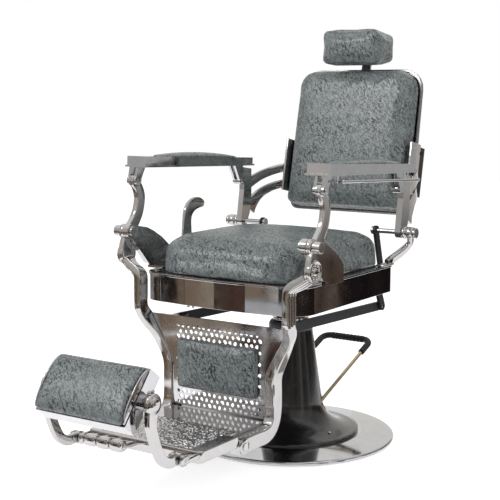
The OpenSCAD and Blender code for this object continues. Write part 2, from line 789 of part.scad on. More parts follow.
holes_x = floor(2 * field_half_w / hole_pitch);
holes_z = floor((field_top_z - field_low_z) / row_pitch);
function hole_at(i, j) = [
  (i - (holes_x - 1) / 2 + (j % 2) * 0.5 - 0.25) * hole_pitch + hole_shift * scatter(i, j, 1),
  field_low_z + (j + 0.5) * row_pitch + hole_shift * scatter(i, j, 2)];
// True where a hole would come under the calf pad's backing
function under_pad(p) =
  abs(p[0]) < calf_half_w - hole_size * 0.2
  && p[1] > calf_z + hole_size * 0.2
  && p[1] < calf_z + calf_h - hole_size * 0.2;
pebbles = [for (j = [0:holes_z - 1], i = [0:holes_x - 1])
  let (p = hole_at(i, j)) if (!under_pad(p) && abs(p[0]) < field_half_w) pebble(p[0], p[1], i, j)];

function start_of(k) = len(panel_pts) + k * hole_points;

module leg_panel() {
  n = len(panel_pts);
  color(chrome_col) translate([0, panel_y + panel_t / 2, 0]) rotate([90, 0, 0]) linear_extrude(panel_t)
    polygon(
      points = concat(panel_pts, [for (b = pebbles) each b]),
      paths = concat([[for (i = [0:n - 1]) i]],
        [for (k = [0:len(pebbles) - 1]) [for (i = [0:hole_points - 1]) start_of(k) + i]])
    );
}

// Rail behind the panel's top, with the lugs that the links push
rail_t = 14;
rail_h = 24;
rail_inset = 2;
lug_t = 8;
lug_x = link_half_x + link_t / 2 + gap;
link_front = [-front_pivot_y + crank_back, front_pivot_z - crank_drop];
link_rear = [rear_pivot_y + crank_back, rear_pivot_z - crank_drop];
link_pin_d = 10;

module panel_rail() {
  y0 = panel_y + panel_t / 2;
  half = inner_at(panel_top_z - rail_inset - rail_h) - panel_gap;
  color(chrome_col) difference() {
    union() {
      translate([-half, y0, panel_top_z - rail_inset - rail_h]) cube([2 * half, rail_t, rail_h]);
      for (s = [-1, 1]) on_side(s) {
        translate([lug_x, y0 + over, link_front[1] - rail_h / 2])
          cube([lug_t, link_front[0] - y0 - over, rail_h]);
        bar(lug_x, lug_t, link_front[0], link_front[1], rail_h);
      }
    }
    bar(-lug_x - lug_t - over, 2 * (lug_x + lug_t + over),
      link_front[0], link_front[1], link_pin_d + 2 * run_gap);
  }
}

calf_side = 16;
calf_crown = 8;

module calf_pad() {
  color(leather_col) translate([0, panel_y - panel_t / 2 - gap, calf_z + calf_h / 2]) rotate([90, 0, 0])
    pad(calf_half_w, calf_h / 2, 14, calf_side, 9, calf_crown, 1.5, [1.5, 1.5, 1.5, 1.5]);
}

// Foot plate, tread and their fixings
bolt_l = 16;
bolt_head_t = 5;
foot_top_z = 156;
foot_rear = -481;
foot_inner = foot_x - foot_iron_t / 2 - gap;
foot_r = 14;
relief_h = 3;
hinge_y = -736;
hinge_z = 152;
hinge_d = 14;
barrel_d = 28;
barrel_in = 6;
barrels = 3;
barrel_slot = 3;
lug_barrel_l = 18;
barrel_gap = 0.4;
yoke_x = 156;
barrel_pitch = (yoke_x - yoke_t / 2 - barrel_gap - lug_barrel_l - barrel_in) / barrels;

foot_wall = 6;

module foot_outline(inset) {
  hw = foot_half_w - inset;
  hi = foot_inner - inset;
  r = foot_r - inset;
  polygon(concat(
    [[-hi, toe_y - gap - inset], [-hi, foot_rear - inset], [hi, foot_rear - inset],
     [hi, toe_y - gap - inset], [hw, toe_y - gap - inset]],
    arc(hw - r, inset - foot_front + r, r, 0, -90, 5),
    arc(-hw + r, inset - foot_front + r, r, -90, -180, 5),
    [[-hw, toe_y - gap - inset]]
  ));
}

leaf_rows = 6;
leaf_cols = 14;

module foot_plate() {
  rim = 9;
  relief_len = foot_front + foot_rear - 2 * rim;
  color(chrome_col) difference() {
    union() {
      difference() {
        translate([0, 0, foot_top_z - foot_t]) linear_extrude(foot_t) foot_outline(0);
        translate([0, 0, foot_top_z - foot_t - over])
          linear_extrude(foot_t - foot_wall + over) foot_outline(foot_wall);
      }
      for (i = [0:leaf_cols - 1], j = [0:leaf_rows - 1])
        translate([
          (i + 0.5 - leaf_cols / 2) * 2 * (foot_inner - rim) / leaf_cols + 3 * scatter(i, j, 4),
          foot_rear - rim - (j + 0.5) * relief_len / leaf_rows + 3 * scatter(i, j, 6),
          foot_top_z
        ]) rotate(40 * scatter(i, j, 7)) cube([foot_r, foot_r * 0.7, 2 * relief_h], center = true);
      for (s = [-1, 1]) on_side(s) {
        barrel(yoke_x - yoke_t / 2 - barrel_gap - lug_barrel_l, lug_barrel_l);
        barrel(yoke_x + yoke_t / 2 + barrel_gap, foot_half_w - yoke_x - yoke_t / 2);
      }
      on_side(-1) for (i = [0:barrels - 1]) barrel(barrel_in + i * barrel_pitch, barrel_pitch - barrel_slot);
    }
    bar(-foot_half_w * 2, foot_half_w * 4, hinge_y, hinge_z, hinge_d + 2 * run_gap);
    bar(-foot_half_w, foot_half_w * 2, bolt_y, bolt_z, bolt_d + 2 * run_gap);
  }
}

// A hinge barrel with the narrower web that joins it to the plate's front edge
web_share = 0.5;
module barrel(x0, t) {
  bar(x0, t, hinge_y, hinge_z, barrel_d);
  translate([x0 + t * (1 - web_share) / 2, hinge_y, hinge_z - barrel_d / 2])
    cube([t * web_share, -hinge_y - foot_front + foot_r, barrel_d / 2]);
}

module tread_plate() {
  color(chrome_col) translate([-foot_inner, foot_rear + gap, foot_top_z - foot_t * 0.4])
    cube([2 * foot_inner, panel_y - 12 - foot_rear, foot_t * 0.3]);
}

module foot_bolts() {
  color(chrome_col) for (s = [-1, 1]) on_side(s) {
    bar(foot_inner - bolt_l, bolt_l + 2 * gap + foot_iron_t, bolt_y, bolt_z, bolt_d);
    bar(foot_x + foot_iron_t / 2 + gap, bolt_head_t, bolt_y, bolt_z, bolt_d * 2);
  }
}

module hinge_rod() {
  inner = yoke_x - yoke_t / 2 - lug_barrel_l - barrel_gap;
  color(chrome_col) {
    bar(-foot_half_w, foot_half_w - barrel_in, hinge_y, hinge_z, hinge_d);
    bar(inner, foot_half_w - inner, hinge_y, hinge_z, hinge_d);
  }
}

// Leg rest
rest_pivot = [-832, 304];
rest_tilt = 50.5;
axle_rest_d = 12;
// Shares of the way from the hinge rod to the leg rest's pivot
yoke_shares = [[0, 0], [0.18, 0.01], [0.35, 0.01], [0.53, 0.04], [0.72, 0.13], [0.9, 0.34], [1.02, 0.58],
  [1.05, 0.72], [1, 1]];
yoke_w = 26;
yoke_disc_d = 50;

module yoke_arm(s) {
  span = rest_pivot - [hinge_y, hinge_z];
  path = [for (k = yoke_shares) [hinge_y + span[0] * k[0], hinge_z + span[1] * k[1]]];
  color(chrome_col) on_side(s) difference() {
    union() {
      slab(yoke_x - yoke_t / 2, yoke_t, ribbon(path, yoke_w));
      bar(yoke_x - yoke_t / 2, yoke_t, hinge_y, hinge_z, barrel_d + 4);
      bar(yoke_x - yoke_t / 2, yoke_t, rest_pivot[0], rest_pivot[1], yoke_disc_d);
      bar(yoke_x + yoke_t / 2, 6, rest_pivot[0], rest_pivot[1], 30);
    }
    bar(yoke_x - yoke_t, 2 * yoke_t, hinge_y, hinge_z, hinge_d + 2 * run_gap);
    bar(yoke_x - yoke_t, 3 * yoke_t, rest_pivot[0], rest_pivot[1], axle_rest_d + 2 * run_gap);
  }
}

module yoke_arm_left() { yoke_arm(1); }
module yoke_arm_right() { yoke_arm(-1); }

module yoke_axle() {
  end = yoke_x + yoke_t / 2 + 6;
  color(chrome_col) bar(-end, 2 * end, rest_pivot[0], rest_pivot[1], axle_rest_d);
}

// Leg rest frame: local +Z points out of the cushion, local +Y to its upper edge
module at_rest_pad() {
  translate([0, rest_pivot[0], rest_pivot[1]]) rotate([rest_tilt, 0, 0]) children();
}
tray_back = -13;
tray_top = tray_back + rest_tray_d;
tray_wall = 3;
rest_mid = -2;

module leg_rest_tray() {
  half = rest_half_w + 1;
  hub_t = yoke_x - yoke_t / 2 - gap - half;
  color(chrome_col) difference() {
    union() {
      at_rest_pad() translate([-half, rest_mid - rest_l / 2, tray_back])
        cube([2 * half, rest_l, rest_tray_d]);
      for (s = [-1, 1]) on_side(s) bar(half - over, hub_t + over, rest_pivot[0], rest_pivot[1], 40);
    }
    at_rest_pad() translate([-half + tray_wall, rest_mid - rest_l / 2 + tray_wall, tray_back + tray_wall])
      cube([2 * (half - tray_wall), rest_l - 2 * tray_wall, rest_tray_d]);
    bar(-yoke_x, 2 * yoke_x, rest_pivot[0], rest_pivot[1], axle_rest_d + 2 * run_gap);
  }
}

// Half-round section of the leg rest, narrowed towards its two ends
rest_steps = 12;
end_shares = [[0, 0.88], [0.03, 0.97], [0.1, 1], [0.5, 1], [0.9, 1], [0.97, 0.97], [1, 0.88]];
rest_hl = rest_l / 2 - 1;
function rest_section(k) = [for (i = [0:rest_steps]) let (a = 180 * (1 - i / rest_steps), u = cos(a))
  [rest_hl * k * u, rest_crown * k * pow(1 - pow(abs(u), 2.6), 0.6)]];

module leg_rest_cushion() {
  base = -4;
  rings = [for (e = end_shares)
    [for (p = concat(rest_section(e[1]), [[rest_hl * e[1], base], [-rest_hl * e[1], base]]))
      [-rest_half_w + 2 * rest_half_w * e[0], p[0] + rest_mid, p[1] + tray_top + gap - base]]];
  n = len(rings[0]);
  m = len(rings);
  walls = [for (i = [0:m - 2], j = [0:n - 1])
    [i * n + j, i * n + (j + 1) % n, (i + 1) * n + (j + 1) % n, (i + 1) * n + j]];
  color(leather_col) at_rest_pad() polyhedron(
    points = [for (g = rings) each g],
    faces = concat(walls, [[for (j = [n - 1:-1:0]) j], [for (j = [0:n - 1]) (m - 1) * n + j]])
  );
}

// Back
back_foot = [271, 642];
module at_back() {
  translate([0, back_foot[0], back_foot[1]]) rotate([-back_lean, 0, 0]) children();
}
back_top_share = 0.97;
back_r_top = 62;
back_r_low = 26;
shell_y = back_side_t + gap;

// Outline of the back in its own plane, with a smaller radius at the foot
function back_outline(inset, narrow) = let (
    hw = back_half_w - inset, ht = back_half_w * narrow - inset,
    z0 = inset, z1 = back_l - inset, rl = back_r_low, rt = back_r_top
  ) concat(
    arc(hw - rl, z0 + rl, rl, -90, 0, 4),
    side([hw, z0 + rl], [ht, z1 - rt], 0, 2),
    arc(ht - rt, z1 - rt, rt, 0, 90, 5),
    side([ht - rt, z1], [rt - ht, z1], 0, 3),
    arc(rt - ht, z1 - rt, rt, 90, 180, 5),
    side([-ht, z1 - rt], [-hw, z0 + rl], 0, 2),
    arc(rl - hw, z0 + rl, rl, 180, 270, 4),
    side([rl - hw, z0], [hw - rl, z0], 0, 3)
  );

back_shoulder = 14;
// Rings from the rear face forward: inset and share of the cushion's thickness
back_rings = concat(
  [[3, 0], [0, 0.3], [0, 0.6]],
  [for (i = [1:3]) let (a = 30 * i) [back_shoulder * (1 - cos(a)), 0.73 + 0.27 * sin(a)]]
);

module back_cushion() {
  flat = back_outline(back_shoulder, back_top_share);
  mid = [0, back_l / 2];
  rings = concat(
    [for (g = back_rings)
      [for (p = back_outline(g[0], back_top_share)) [p[0], back_side_t * (1 - g[1]), p[1]]]],
    [for (k = [0.22, 0.48, 0.76]) [for (p = flat)
      [p[0] * (1 - k), -back_crown * (1 - pow(1 - k, 2)), mid[1] + (p[1] - mid[1]) * (1 - k)]]]
  );
  color(leather_col) at_back() skin(rings, [0, back_side_t, mid[1]], [0, -back_crown, mid[1]]);
}

shell_lip = 3;
module back_shell() {
  color(chrome_col) at_back() translate([0, shell_y + back_shell_t, 0]) rotate([90, 0, 0])
    difference() {
      linear_extrude(back_shell_t) polygon(back_outline(-shell_lip, back_top_share));
      translate([0, 0, shell_lip])
        linear_extrude(back_shell_t) polygon(back_outline(shell_lip, back_top_share));
    }
}

plate_t = 7;
mount_low = 56;
mount_high = 204;
plate_front = 8;
plate_rear = shell_y + back_shell_t - 1;
mount_w = 26;
mount_screw_d = 10;
mount_screw_h = 3;
// Narrowing of the shell per unit of height, and its half width at the side plate's foot
shell_taper = back_half_w * (1 - back_top_share) / (back_l - back_r_top - back_r_low + 2 * shell_lip);
plate_x = back_half_w + shell_lip + gap - shell_taper * (mount_low - plate_front - back_r_low + shell_lip);

module back_mounts() {
  y0 = plate_rear + gap;
  color(black_col) at_back() for (s = [-1, 1]) on_side(s) {
    translate([plate_x, y0, mount_low]) cube([plate_t, mount_w, mount_high - mount_low]);
    for (z = [mount_low + mount_w * 0.6, mount_high - mount_w * 0.6])
      translate([plate_x + plate_t, y0 + mount_w / 2, z]) rotate([0, 90, 0])
        cylinder(h = mount_screw_h, d = mount_screw_d, $fn = 24);
  }
}

// Strap that stands on the rear pivot, with the ear for the armrest
strap_w = 40;
strap_top_z = 764;
ear_t = 10;
ear_r = 11;

module back_strap(s) {
  front = rear_pivot_y - 1;
  rear = front + strap_w;
  pts = concat(
    [[rear_pivot_y - rear_boss_r, rear_pivot_z]],
    [[front - 8, rear_pivot_z + 52], [front, rear_pivot_z + 96], [front, strap_top_z]],
    [[rear, strap_top_z - 6], [rear, rear_pivot_z + 60]],
    [[rear - 10, rear_pivot_z + 20], [rear_pivot_y + rear_boss_r, rear_pivot_z - 2]]
  );
  color(chrome_col) on_side(s) difference() {
    union() {
      slab(strap_x, strap_t, pts);
      bar(strap_x, strap_t, rear_pivot_y, rear_pivot_z, 2 * rear_boss_r);
      bar(strap_x + (strap_t - ear_t) / 2, ear_t, arm_rear_pivot[0], arm_rear_pivot[1], 2 * ear_r);
      translate([strap_x + (strap_t - ear_t) / 2, arm_rear_pivot[0], arm_rear_pivot[1] - ear_r])
        cube([ear_t, front - arm_rear_pivot[0] + over, 2 * ear_r]);
    }
    bar(strap_x - over, strap_t + 2 * over, rear_pivot_y, rear_pivot_z, pin_d + 2 * run_gap);
    bar(strap_x - over, strap_t + 2 * over, arm_rear_pivot[0], arm_rear_pivot[1], arm_pin_d + 2 * run_gap);
  }
}

module back_strap_left() { back_strap(1); }
module back_strap_right() { back_strap(-1); }

// Two curved bars from the strap to an upright plate on the back's side
bar_root_y = rear_pivot_y + strap_w - 1 + gap;
bar_t = 12;
// Stations: X share, Y share, height and height of the section
bar_end_y = 326;
bar_high = [[0, 0, 715, 36], [0.12, 0.38, 730, 32], [0.42, 0.72, 744, 29], [1, 1, 756, 27]];
bar_low = [[0, 0, 628, 56], [0.1, 0.36, 668, 40], [0.4, 0.7, 694, 30], [1, 1, 706, 26]];

module bent_bar(list) {
  x0 = strap_x + strap_t / 2;
  x1 = plate_x + bar_t / 2;
  for (i = [0:len(list) - 2]) hull() for (k = [list[i], list[i + 1]])
    translate([x0 + (x1 - x0) * k[0], bar_root_y + (bar_end_y - bar_root_y) * k[1] + section_h / 2, k[2]])
      cube([bar_t, section_h, k[3]], center = true);
}

module back_arm(s) {
  color(chrome_col) on_side(s) union() {
    bent_bar(bar_high);
    bent_bar(bar_low);
    at_back() translate([plate_x, plate_front, mount_low - plate_front])
      cube([plate_t, plate_rear - plate_front, mount_high - mount_low + 2 * plate_front]);
  }
}

module back_arm_left() { back_arm(1); }
module back_arm_right() { back_arm(-1); }

crank_w = 26;
tube = [rear_pivot_y + 35, rear_pivot_z - 120];
crank_end_d = 22;
tube_d = 16;

module rear_pins() {
  end = rear_boss_x + rear_boss_t + gap;
  color(chrome_col) for (s = [-1, 1]) on_side(s) {
    bar(crank_x - rear_head_t, end + rear_head_t - crank_x, rear_pivot_y, rear_pivot_z, pin_d);
    bar(crank_x - rear_head_t, rear_head_t - gap, rear_pivot_y, rear_pivot_z, head_d * 0.8);
    bar(end, rear_head_t, rear_pivot_y, rear_pivot_z, head_d);
  }
}

// Cranks under the seat: plates on the pivots, a cross tube and the arms that drive the links
module back_crank() {
  color(black_col) difference() {
    union() {
      for (s = [-1, 1]) on_side(s) {
        slab(crank_x, crank_t, ribbon([[rear_pivot_y, rear_pivot_z], tube], crank_end_d));
        bar(crank_x, crank_t, rear_pivot_y, rear_pivot_z, crank_w + 2);
        bar(crank_x, crank_t, tube[0], tube[1], crank_end_d);
        slab(lug_x, lug_t, ribbon([tube, link_rear], crank_w));
        bar(lug_x, lug_t, tube[0], tube[1], crank_w);
        bar(lug_x, lug_t, link_rear[0], link_rear[1], crank_w);
      }
      bar(-crank_x - over, 2 * (crank_x + over), tube[0], tube[1], tube_d);
    }
    for (s = [-1, 1]) on_side(s) {
      bar(crank_x - over, crank_t + 2 * over, rear_pivot_y, rear_pivot_z, pin_d + 2 * run_gap);
      bar(lug_x - over, lug_t + 2 * over, link_rear[0], link_rear[1], link_pin_d + 2 * run_gap);
    }
  }
}

// Headrest
head_z = back_l + 8;
head_mid_z = back_l + 72;
head_post_w = 30;
head_post_t = 8;
head_tuck = 12;
head_shoulder = 15;
head_crown = 6;
head_r = 20;
post_local_y = shell_y + back_shell_t + gap + 3;
socket_low = back_l - 130;
socket_h = 84;
post_l = 190;
socket_wall = 9;
knob_stem_l = 14;
knob_stem_d = 12;
knob_t = 12;
knob_d = 32;

module headrest_socket() {
  y0 = shell_y + back_shell_t + gap;
  color(chrome_col) at_back() difference() {
    union() {
      translate([-head_post_w, y0, socket_low]) cube([2 * head_post_w, head_post_t + socket_wall, socket_h]);
      translate([0, y0 + head_post_t + socket_wall, socket_low + socket_h / 2]) rotate([-90, 0, 0]) {
        cylinder(h = knob_stem_l, d = knob_stem_d);
        translate([0, 0, knob_stem_l]) cylinder(h = knob_t, d = knob_d);
      }
    }
    translate([-head_post_w / 2 - run_gap, post_local_y - run_gap, socket_low - over])
      cube([head_post_w + 2 * run_gap, head_post_t + 2 * run_gap, socket_h + 2 * over]);
  }
}

module headrest_post() {
  color(chrome_col) at_back() translate([-head_post_w / 2, post_local_y, head_z - post_l])
    cube([head_post_w, head_post_t, post_l + head_h * 0.6]);
}

module headrest_cushion() {
  color(leather_col) at_back() difference() {
    translate([0, post_local_y + head_post_t + 1, head_mid_z]) rotate([90 + head_tilt, 0, 0])
      pad(head_half_w, head_h / 2, head_r, head_depth - head_crown, head_shoulder, head_crown, head_tuck,
        [2, 2, 2, 2]);
    translate([-head_post_w / 2 - run_gap, post_local_y - run_gap, head_z - head_h])
      cube([head_post_w + 2 * run_gap, head_post_t + 2 * run_gap, head_h * 1.6 + run_gap]);
  }
}

// Armrests
arm_nose = 2;
arm_front = [iron_x, arm_nose - arm_pivot_y];
arm_l = arm_rear_y - arm_front[1] + arm_tail;

module at_arm() {
  translate([arm_front[0], arm_front[1], arm_top_z])
    rotate([0, 0, arm_toe]) rotate([-arm_fall, 0, 0]) children();
}

lip_h = 5;
lip_w = 4;
recess_d = 5;
pad_start = arm_l * 0.17;
pad_end = arm_l * 0.88;
cave_start = arm_l * 0.13;
cave_end = arm_l * 0.8;
fork_t = 8;
pin_head_t = 4;

module armrest(s) {
  inner_x0 = iron_x - gap - fork_t;
  rear_x0 = strap_x + (strap_t - ear_t) / 2 - gap - fork_t;
  color(chrome_col) on_side(s) difference() {
    union() {
      at_arm() {
        slab(-arm_w / 2, arm_w, [[0, 0], [0, -arm_h], [arm_l, -arm_h_rear], [arm_l, 0]]);
        slab(-arm_w / 2 - lip_w, arm_w + 2 * lip_w,
          [[-lip_w, -arm_h], [-lip_w, -arm_h - lip_h],
           [arm_l + lip_w, -arm_h_rear - lip_h], [arm_l + lip_w, -arm_h_rear]]);
      }
      for (x = [inner_x0, iron_x + iron_t + gap]) {
        bar(x, fork_t, arm_pivot[0], arm_pivot[1], ear_r * 2.4);
        slab(x, fork_t, [
          [arm_pivot[0] - ear_r * 0.9, arm_pivot[1]], [arm_pivot[0] + ear_r, arm_pivot[1]],
          [arm_pivot[0] + ear_r * 3, arm_top_z - arm_h - lip_h / 2],
          [arm_pivot[0], arm_top_z - arm_h - lip_h / 4]]);
      }
      for (x = [rear_x0, rear_x0 + fork_t + ear_t + 2 * gap]) {
        bar(x, fork_t, arm_rear_pivot[0], arm_rear_pivot[1], ear_r * 2);
        slab(x, fork_t, [
          [arm_rear_pivot[0] - ear_r * 0.9, arm_rear_pivot[1]],
          [arm_rear_pivot[0] + ear_r, arm_rear_pivot[1] + 3],
          [arm_rear_pivot[0] + ear_r * 0.6, arm_rear_pivot[1] + 46],
          [arm_rear_pivot[0] - ear_r * 3.4, arm_rear_pivot[1] + 52]]);
      }
    }
    at_arm() {
      translate([-arm_w / 2 + lip_w, pad_start - gap, -recess_d])
        cube([arm_w - 2 * lip_w, pad_end - pad_start + 2 * gap, recess_d + over]);
      translate([-arm_w / 2 + lip_w, cave_start, -arm_h - lip_h - over])
        cube([arm_w - 2 * lip_w, cave_end - cave_start, arm_h + lip_h + over - recess_d - lip_w]);
    }
    bar(inner_x0 - over, 3 * iron_t + fork_t, arm_pivot[0], arm_pivot[1], arm_pin_d + 2 * run_gap);
    bar(rear_x0 - over, 3 * fork_t + ear_t, arm_rear_pivot[0], arm_rear_pivot[1], arm_pin_d + 2 * run_gap);
  }
}

module armrest_left() { armrest(1); }
module armrest_right() { armrest(-1); }

module arm_pad(s) {
  hl = (pad_end - pad_start) / 2;
  color(leather_col) on_side(s) at_arm() translate([0, pad_start + hl, -recess_d + gap])
    pad(arm_w / 2 - lip_w - gap, hl, 12, recess_d + 5, 4, 8, 0.5, [0.5, 0, 0.5, 0]);
}

module arm_pad_left() { arm_pad(1); }
module arm_pad_right() { arm_pad(-1); }

module arm_pins(s) {
  inner_x0 = iron_x - gap - fork_t;
  rear_x0 = strap_x + (strap_t - ear_t) / 2 - gap - fork_t;
  color(chrome_col) on_side(s) {
    bar(inner_x0, 2 * fork_t + iron_t + 3 * gap, arm_pivot[0], arm_pivot[1], arm_pin_d);
    bar(iron_x + iron_t + 2 * gap + fork_t, pin_head_t, arm_pivot[0], arm_pivot[1], arm_pin_d * 1.7);
    bar(rear_x0 - 2 * gap, 2 * fork_t + ear_t + 4 * gap, arm_rear_pivot[0], arm_rear_pivot[1], arm_pin_d);
    bar(rear_x0 - gap - pin_head_t, pin_head_t, arm_rear_pivot[0], arm_rear_pivot[1], arm_pin_d * 1.6);
  }
}

module arm_pins_left() { arm_pins(1); }
module arm_pins_right() { arm_pins(-1); }

// Towel rail beside the sitter's left armrest
rail_rod_d = 7;
rail_ball_d = 10;
rail_start = arm_l * 0.1;
rail_end = arm_l + rail_rod_d;
rail_out = 10;
rail_in = 6;
rail_drop = 14;
rail_back = arm_l * 0.12;

// Height of an armrest's underside along it
function arm_under(y) = -lip_h - arm_h - (arm_h_rear - arm_h) * y / arm_l;

module towel_rail() {
  z = -arm_h - lip_h - rail_drop;
  x = arm_w / 2 + rail_out;
  color(chrome_col) at_arm() {
    for (y = [rail_start, rail_end - rail_back]) {
      translate([arm_w / 2 - rail_in, y, z]) rotate([0, 90, 0])
        cylinder(h = rail_in + rail_out, d = rail_rod_d);
      translate([arm_w / 2 - rail_in, y, z]) cylinder(h = arm_under(y) - gap - z, d = rail_rod_d + 1);
      translate([arm_w / 2 - rail_in, y, z]) sphere(d = rail_ball_d);
    }
    translate([x, rail_start, z]) rotate([-90, 0, 0]) cylinder(h = rail_end - rail_start, d = rail_rod_d + 1);
    for (y = [rail_start, rail_end]) translate([x, y, z]) sphere(d = rail_ball_d);
  }
}

// Link bars between the cranks and the leg frame
module link(s) {
  color(black_col) on_side(s) difference() {
    union() {
      slab(link_half_x - link_t / 2, link_t, ribbon([link_front, link_rear], link_h));
      bar(link_half_x - link_t / 2, link_t, link_front[0], link_front[1], link_h);
      bar(link_half_x - link_t / 2, link_t, link_rear[0], link_rear[1], link_h);
    }
    for (p = [link_front, link_rear])
      bar(link_half_x - link_t, 2 * link_t, p[0], p[1], link_pin_d + 2 * run_gap);
  }
}

module link_left() { link(1); }
module link_right() { link(-1); }

module link_pins() {
  color(chrome_col) for (s = [-1, 1], p = [link_front, link_rear]) on_side(s) {
    bar(link_half_x - link_t / 2 - 2 * gap, link_t + lug_t + 3 * gap, p[0], p[1], link_pin_d);
    bar(link_half_x - link_t / 2 - gap - pin_head_t, pin_head_t, p[0], p[1], link_pin_d * 1.6);
  }
}

base_disc();
base_ring();
pump_cylinder();
pump_bolts();
column_cover();
column_cap();
cover_screws();
lever_axle();
pump_lever();
pump_grip();
ram();
swivel_hub();
seat_spider();
seat_board();
seat_apron();
apron_pins();
seat_cushion();
front_bracket_left();
front_bracket_right();
rear_bracket_left();
rear_bracket_right();
front_pins();
lever_bracket();
recline_lever();
side_iron_left();
side_iron_right();
leg_panel();
panel_rail();
calf_pad();
foot_plate();
tread_plate();
foot_bolts();
hinge_rod();
yoke_arm_left();
yoke_arm_right();
yoke_axle();
leg_rest_tray();
leg_rest_cushion();
back_shell();
back_cushion();
back_strap_left();
back_strap_right();
back_arm_left();
back_arm_right();
back_mounts();
rear_pins();
back_crank();
headrest_socket();
headrest_post();
headrest_cushion();
armrest_left();
armrest_right();
arm_pad_left();
arm_pad_right();
arm_pins_left();
arm_pins_right();
towel_rail();
link_left();
link_right();
link_pins();
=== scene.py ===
# Barber chair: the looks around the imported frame. Lengths in the tables are millimetres.
import math
import bmesh
import bpy
from mathutils import Matrix, Vector, noise


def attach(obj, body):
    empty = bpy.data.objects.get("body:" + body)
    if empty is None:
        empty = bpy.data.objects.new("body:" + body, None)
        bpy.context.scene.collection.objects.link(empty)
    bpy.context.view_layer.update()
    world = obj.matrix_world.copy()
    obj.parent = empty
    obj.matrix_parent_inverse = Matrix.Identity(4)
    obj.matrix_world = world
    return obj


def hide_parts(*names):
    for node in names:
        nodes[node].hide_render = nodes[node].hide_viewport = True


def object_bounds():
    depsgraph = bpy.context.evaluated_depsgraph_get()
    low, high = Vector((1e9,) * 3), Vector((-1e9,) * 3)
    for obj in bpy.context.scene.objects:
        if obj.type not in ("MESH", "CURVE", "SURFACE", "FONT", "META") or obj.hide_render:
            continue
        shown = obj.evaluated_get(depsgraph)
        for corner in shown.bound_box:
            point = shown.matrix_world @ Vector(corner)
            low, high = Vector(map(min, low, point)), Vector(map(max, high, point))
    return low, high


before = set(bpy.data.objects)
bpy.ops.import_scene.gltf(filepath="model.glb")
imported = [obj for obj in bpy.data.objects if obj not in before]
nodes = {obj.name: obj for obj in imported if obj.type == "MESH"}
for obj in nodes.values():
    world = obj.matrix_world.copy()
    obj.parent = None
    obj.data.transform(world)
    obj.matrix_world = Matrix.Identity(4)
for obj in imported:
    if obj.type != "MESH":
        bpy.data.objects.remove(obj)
cadBox = [list(corner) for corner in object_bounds()]
scene = bpy.context.scene
mm = 0.001

# Camera where the photographer stood: a little to the sitter's left, above the seat
camera = {"place": (1.7583, -2.8172, 1.0009), "target": (0.0, -0.2105, 0.5690), "lens": 84.31, "sensor": 36.0}
cameraData = bpy.data.cameras.new("studioCamera")
cameraData.lens = camera["lens"]
cameraData.sensor_width = camera["sensor"]
cameraObject = bpy.data.objects.new("studioCamera", cameraData)
scene.collection.objects.link(cameraObject)
cameraObject.location = camera["place"]
aim = Vector(camera["target"]) - Vector(camera["place"])
cameraObject.rotation_euler = aim.to_track_quat("-Z", "Y").to_euler()
scene.camera = cameraObject
scene.view_settings.view_transform = "Standard"
print("camera ready")


# Small helpers for node trees
def toLinear(hexColour):
    parts = [int(hexColour[i:i + 2], 16) / 255 for i in (1, 3, 5)]
    return tuple(c / 12.92 if c <= 0.04045 else ((c + 0.055) / 1.055) ** 2.4 for c in parts) + (1.0,)


def addNode(tree, kind, settings=None, values=None, links=None):
    node = tree.nodes.new("ShaderNode" + kind)
    for name, value in (settings or {}).items():
        setattr(node, name, value)
    for name, value in (values or {}).items():
        node.inputs[name].default_value = value
    for name, source in (links or {}).items():
        tree.links.new(source, node.inputs[name])
    return node


def newMaterial(name):
    material = bpy.data.materials.new(name)
    material.use_nodes = True
    material.node_tree.nodes.clear()
    return material, material.node_tree


def finishMaterial(tree, surface):
    addNode(tree, "OutputMaterial", links={"Surface": surface.outputs[0]})


def setRamp(node, stops, interpolation="LINEAR"):
    ramp = node.color_ramp
    ramp.interpolation = interpolation
    while len(ramp.elements) < len(stops):
        ramp.elements.new(0.5)
    for element, (place, colour) in zip(ramp.elements, sorted(stops)):
        element.position = place
        element.color = colour if isinstance(colour, tuple) else toLinear(colour)
    return node


# Crushed leatherette: a waxed two-tone skin whose creases rub dark and whose folds rub pale
# Along the sewn lines the skin takes a painted shade colour, at a share given below
leather = {
    "mid": "#6f7776", "dark": "#1b2021", "pale": "#99a1a0", "seamShade": "#1d2223",
    "creaseLength": 13, "creaseWidth": 2.2,  # drawn coarse enough for a render pixel of 3 mm
    "creaseRange": (0.605, 0.645),
    "creaseTurns": [(0.2, 0.4, 0.5), (1.1, -0.3, 2.2), (-0.6, 1.0, 1.3), (0.9, 0.7, -0.9), (0.0, 1.3, 0.2),
                    (0.5, -0.9, 2.8)],
    "rubLength": 20, "rubWidth": 3.2, "rubRange": (0.60, 0.68), "rubShare": 0.3,
    "rubTurns": [(0.7, 0.1, 1.8), (-0.4, 0.9, 0.3), (1.4, 0.2, -0.6)],
    "mottle": 60, "bend": 0.012, "seamShadeShare": 0.8, "roughness": 0.36, "creaseRoughness": 0.2,
    "grainScale": 420.0, "bumpStrength": 0.25, "bumpDepth": 0.4, "coat": 0.2, "coatRoughness": 0.28,
}
noiseSpan = 2.2  # length of a noise cell beside the stroke that it draws


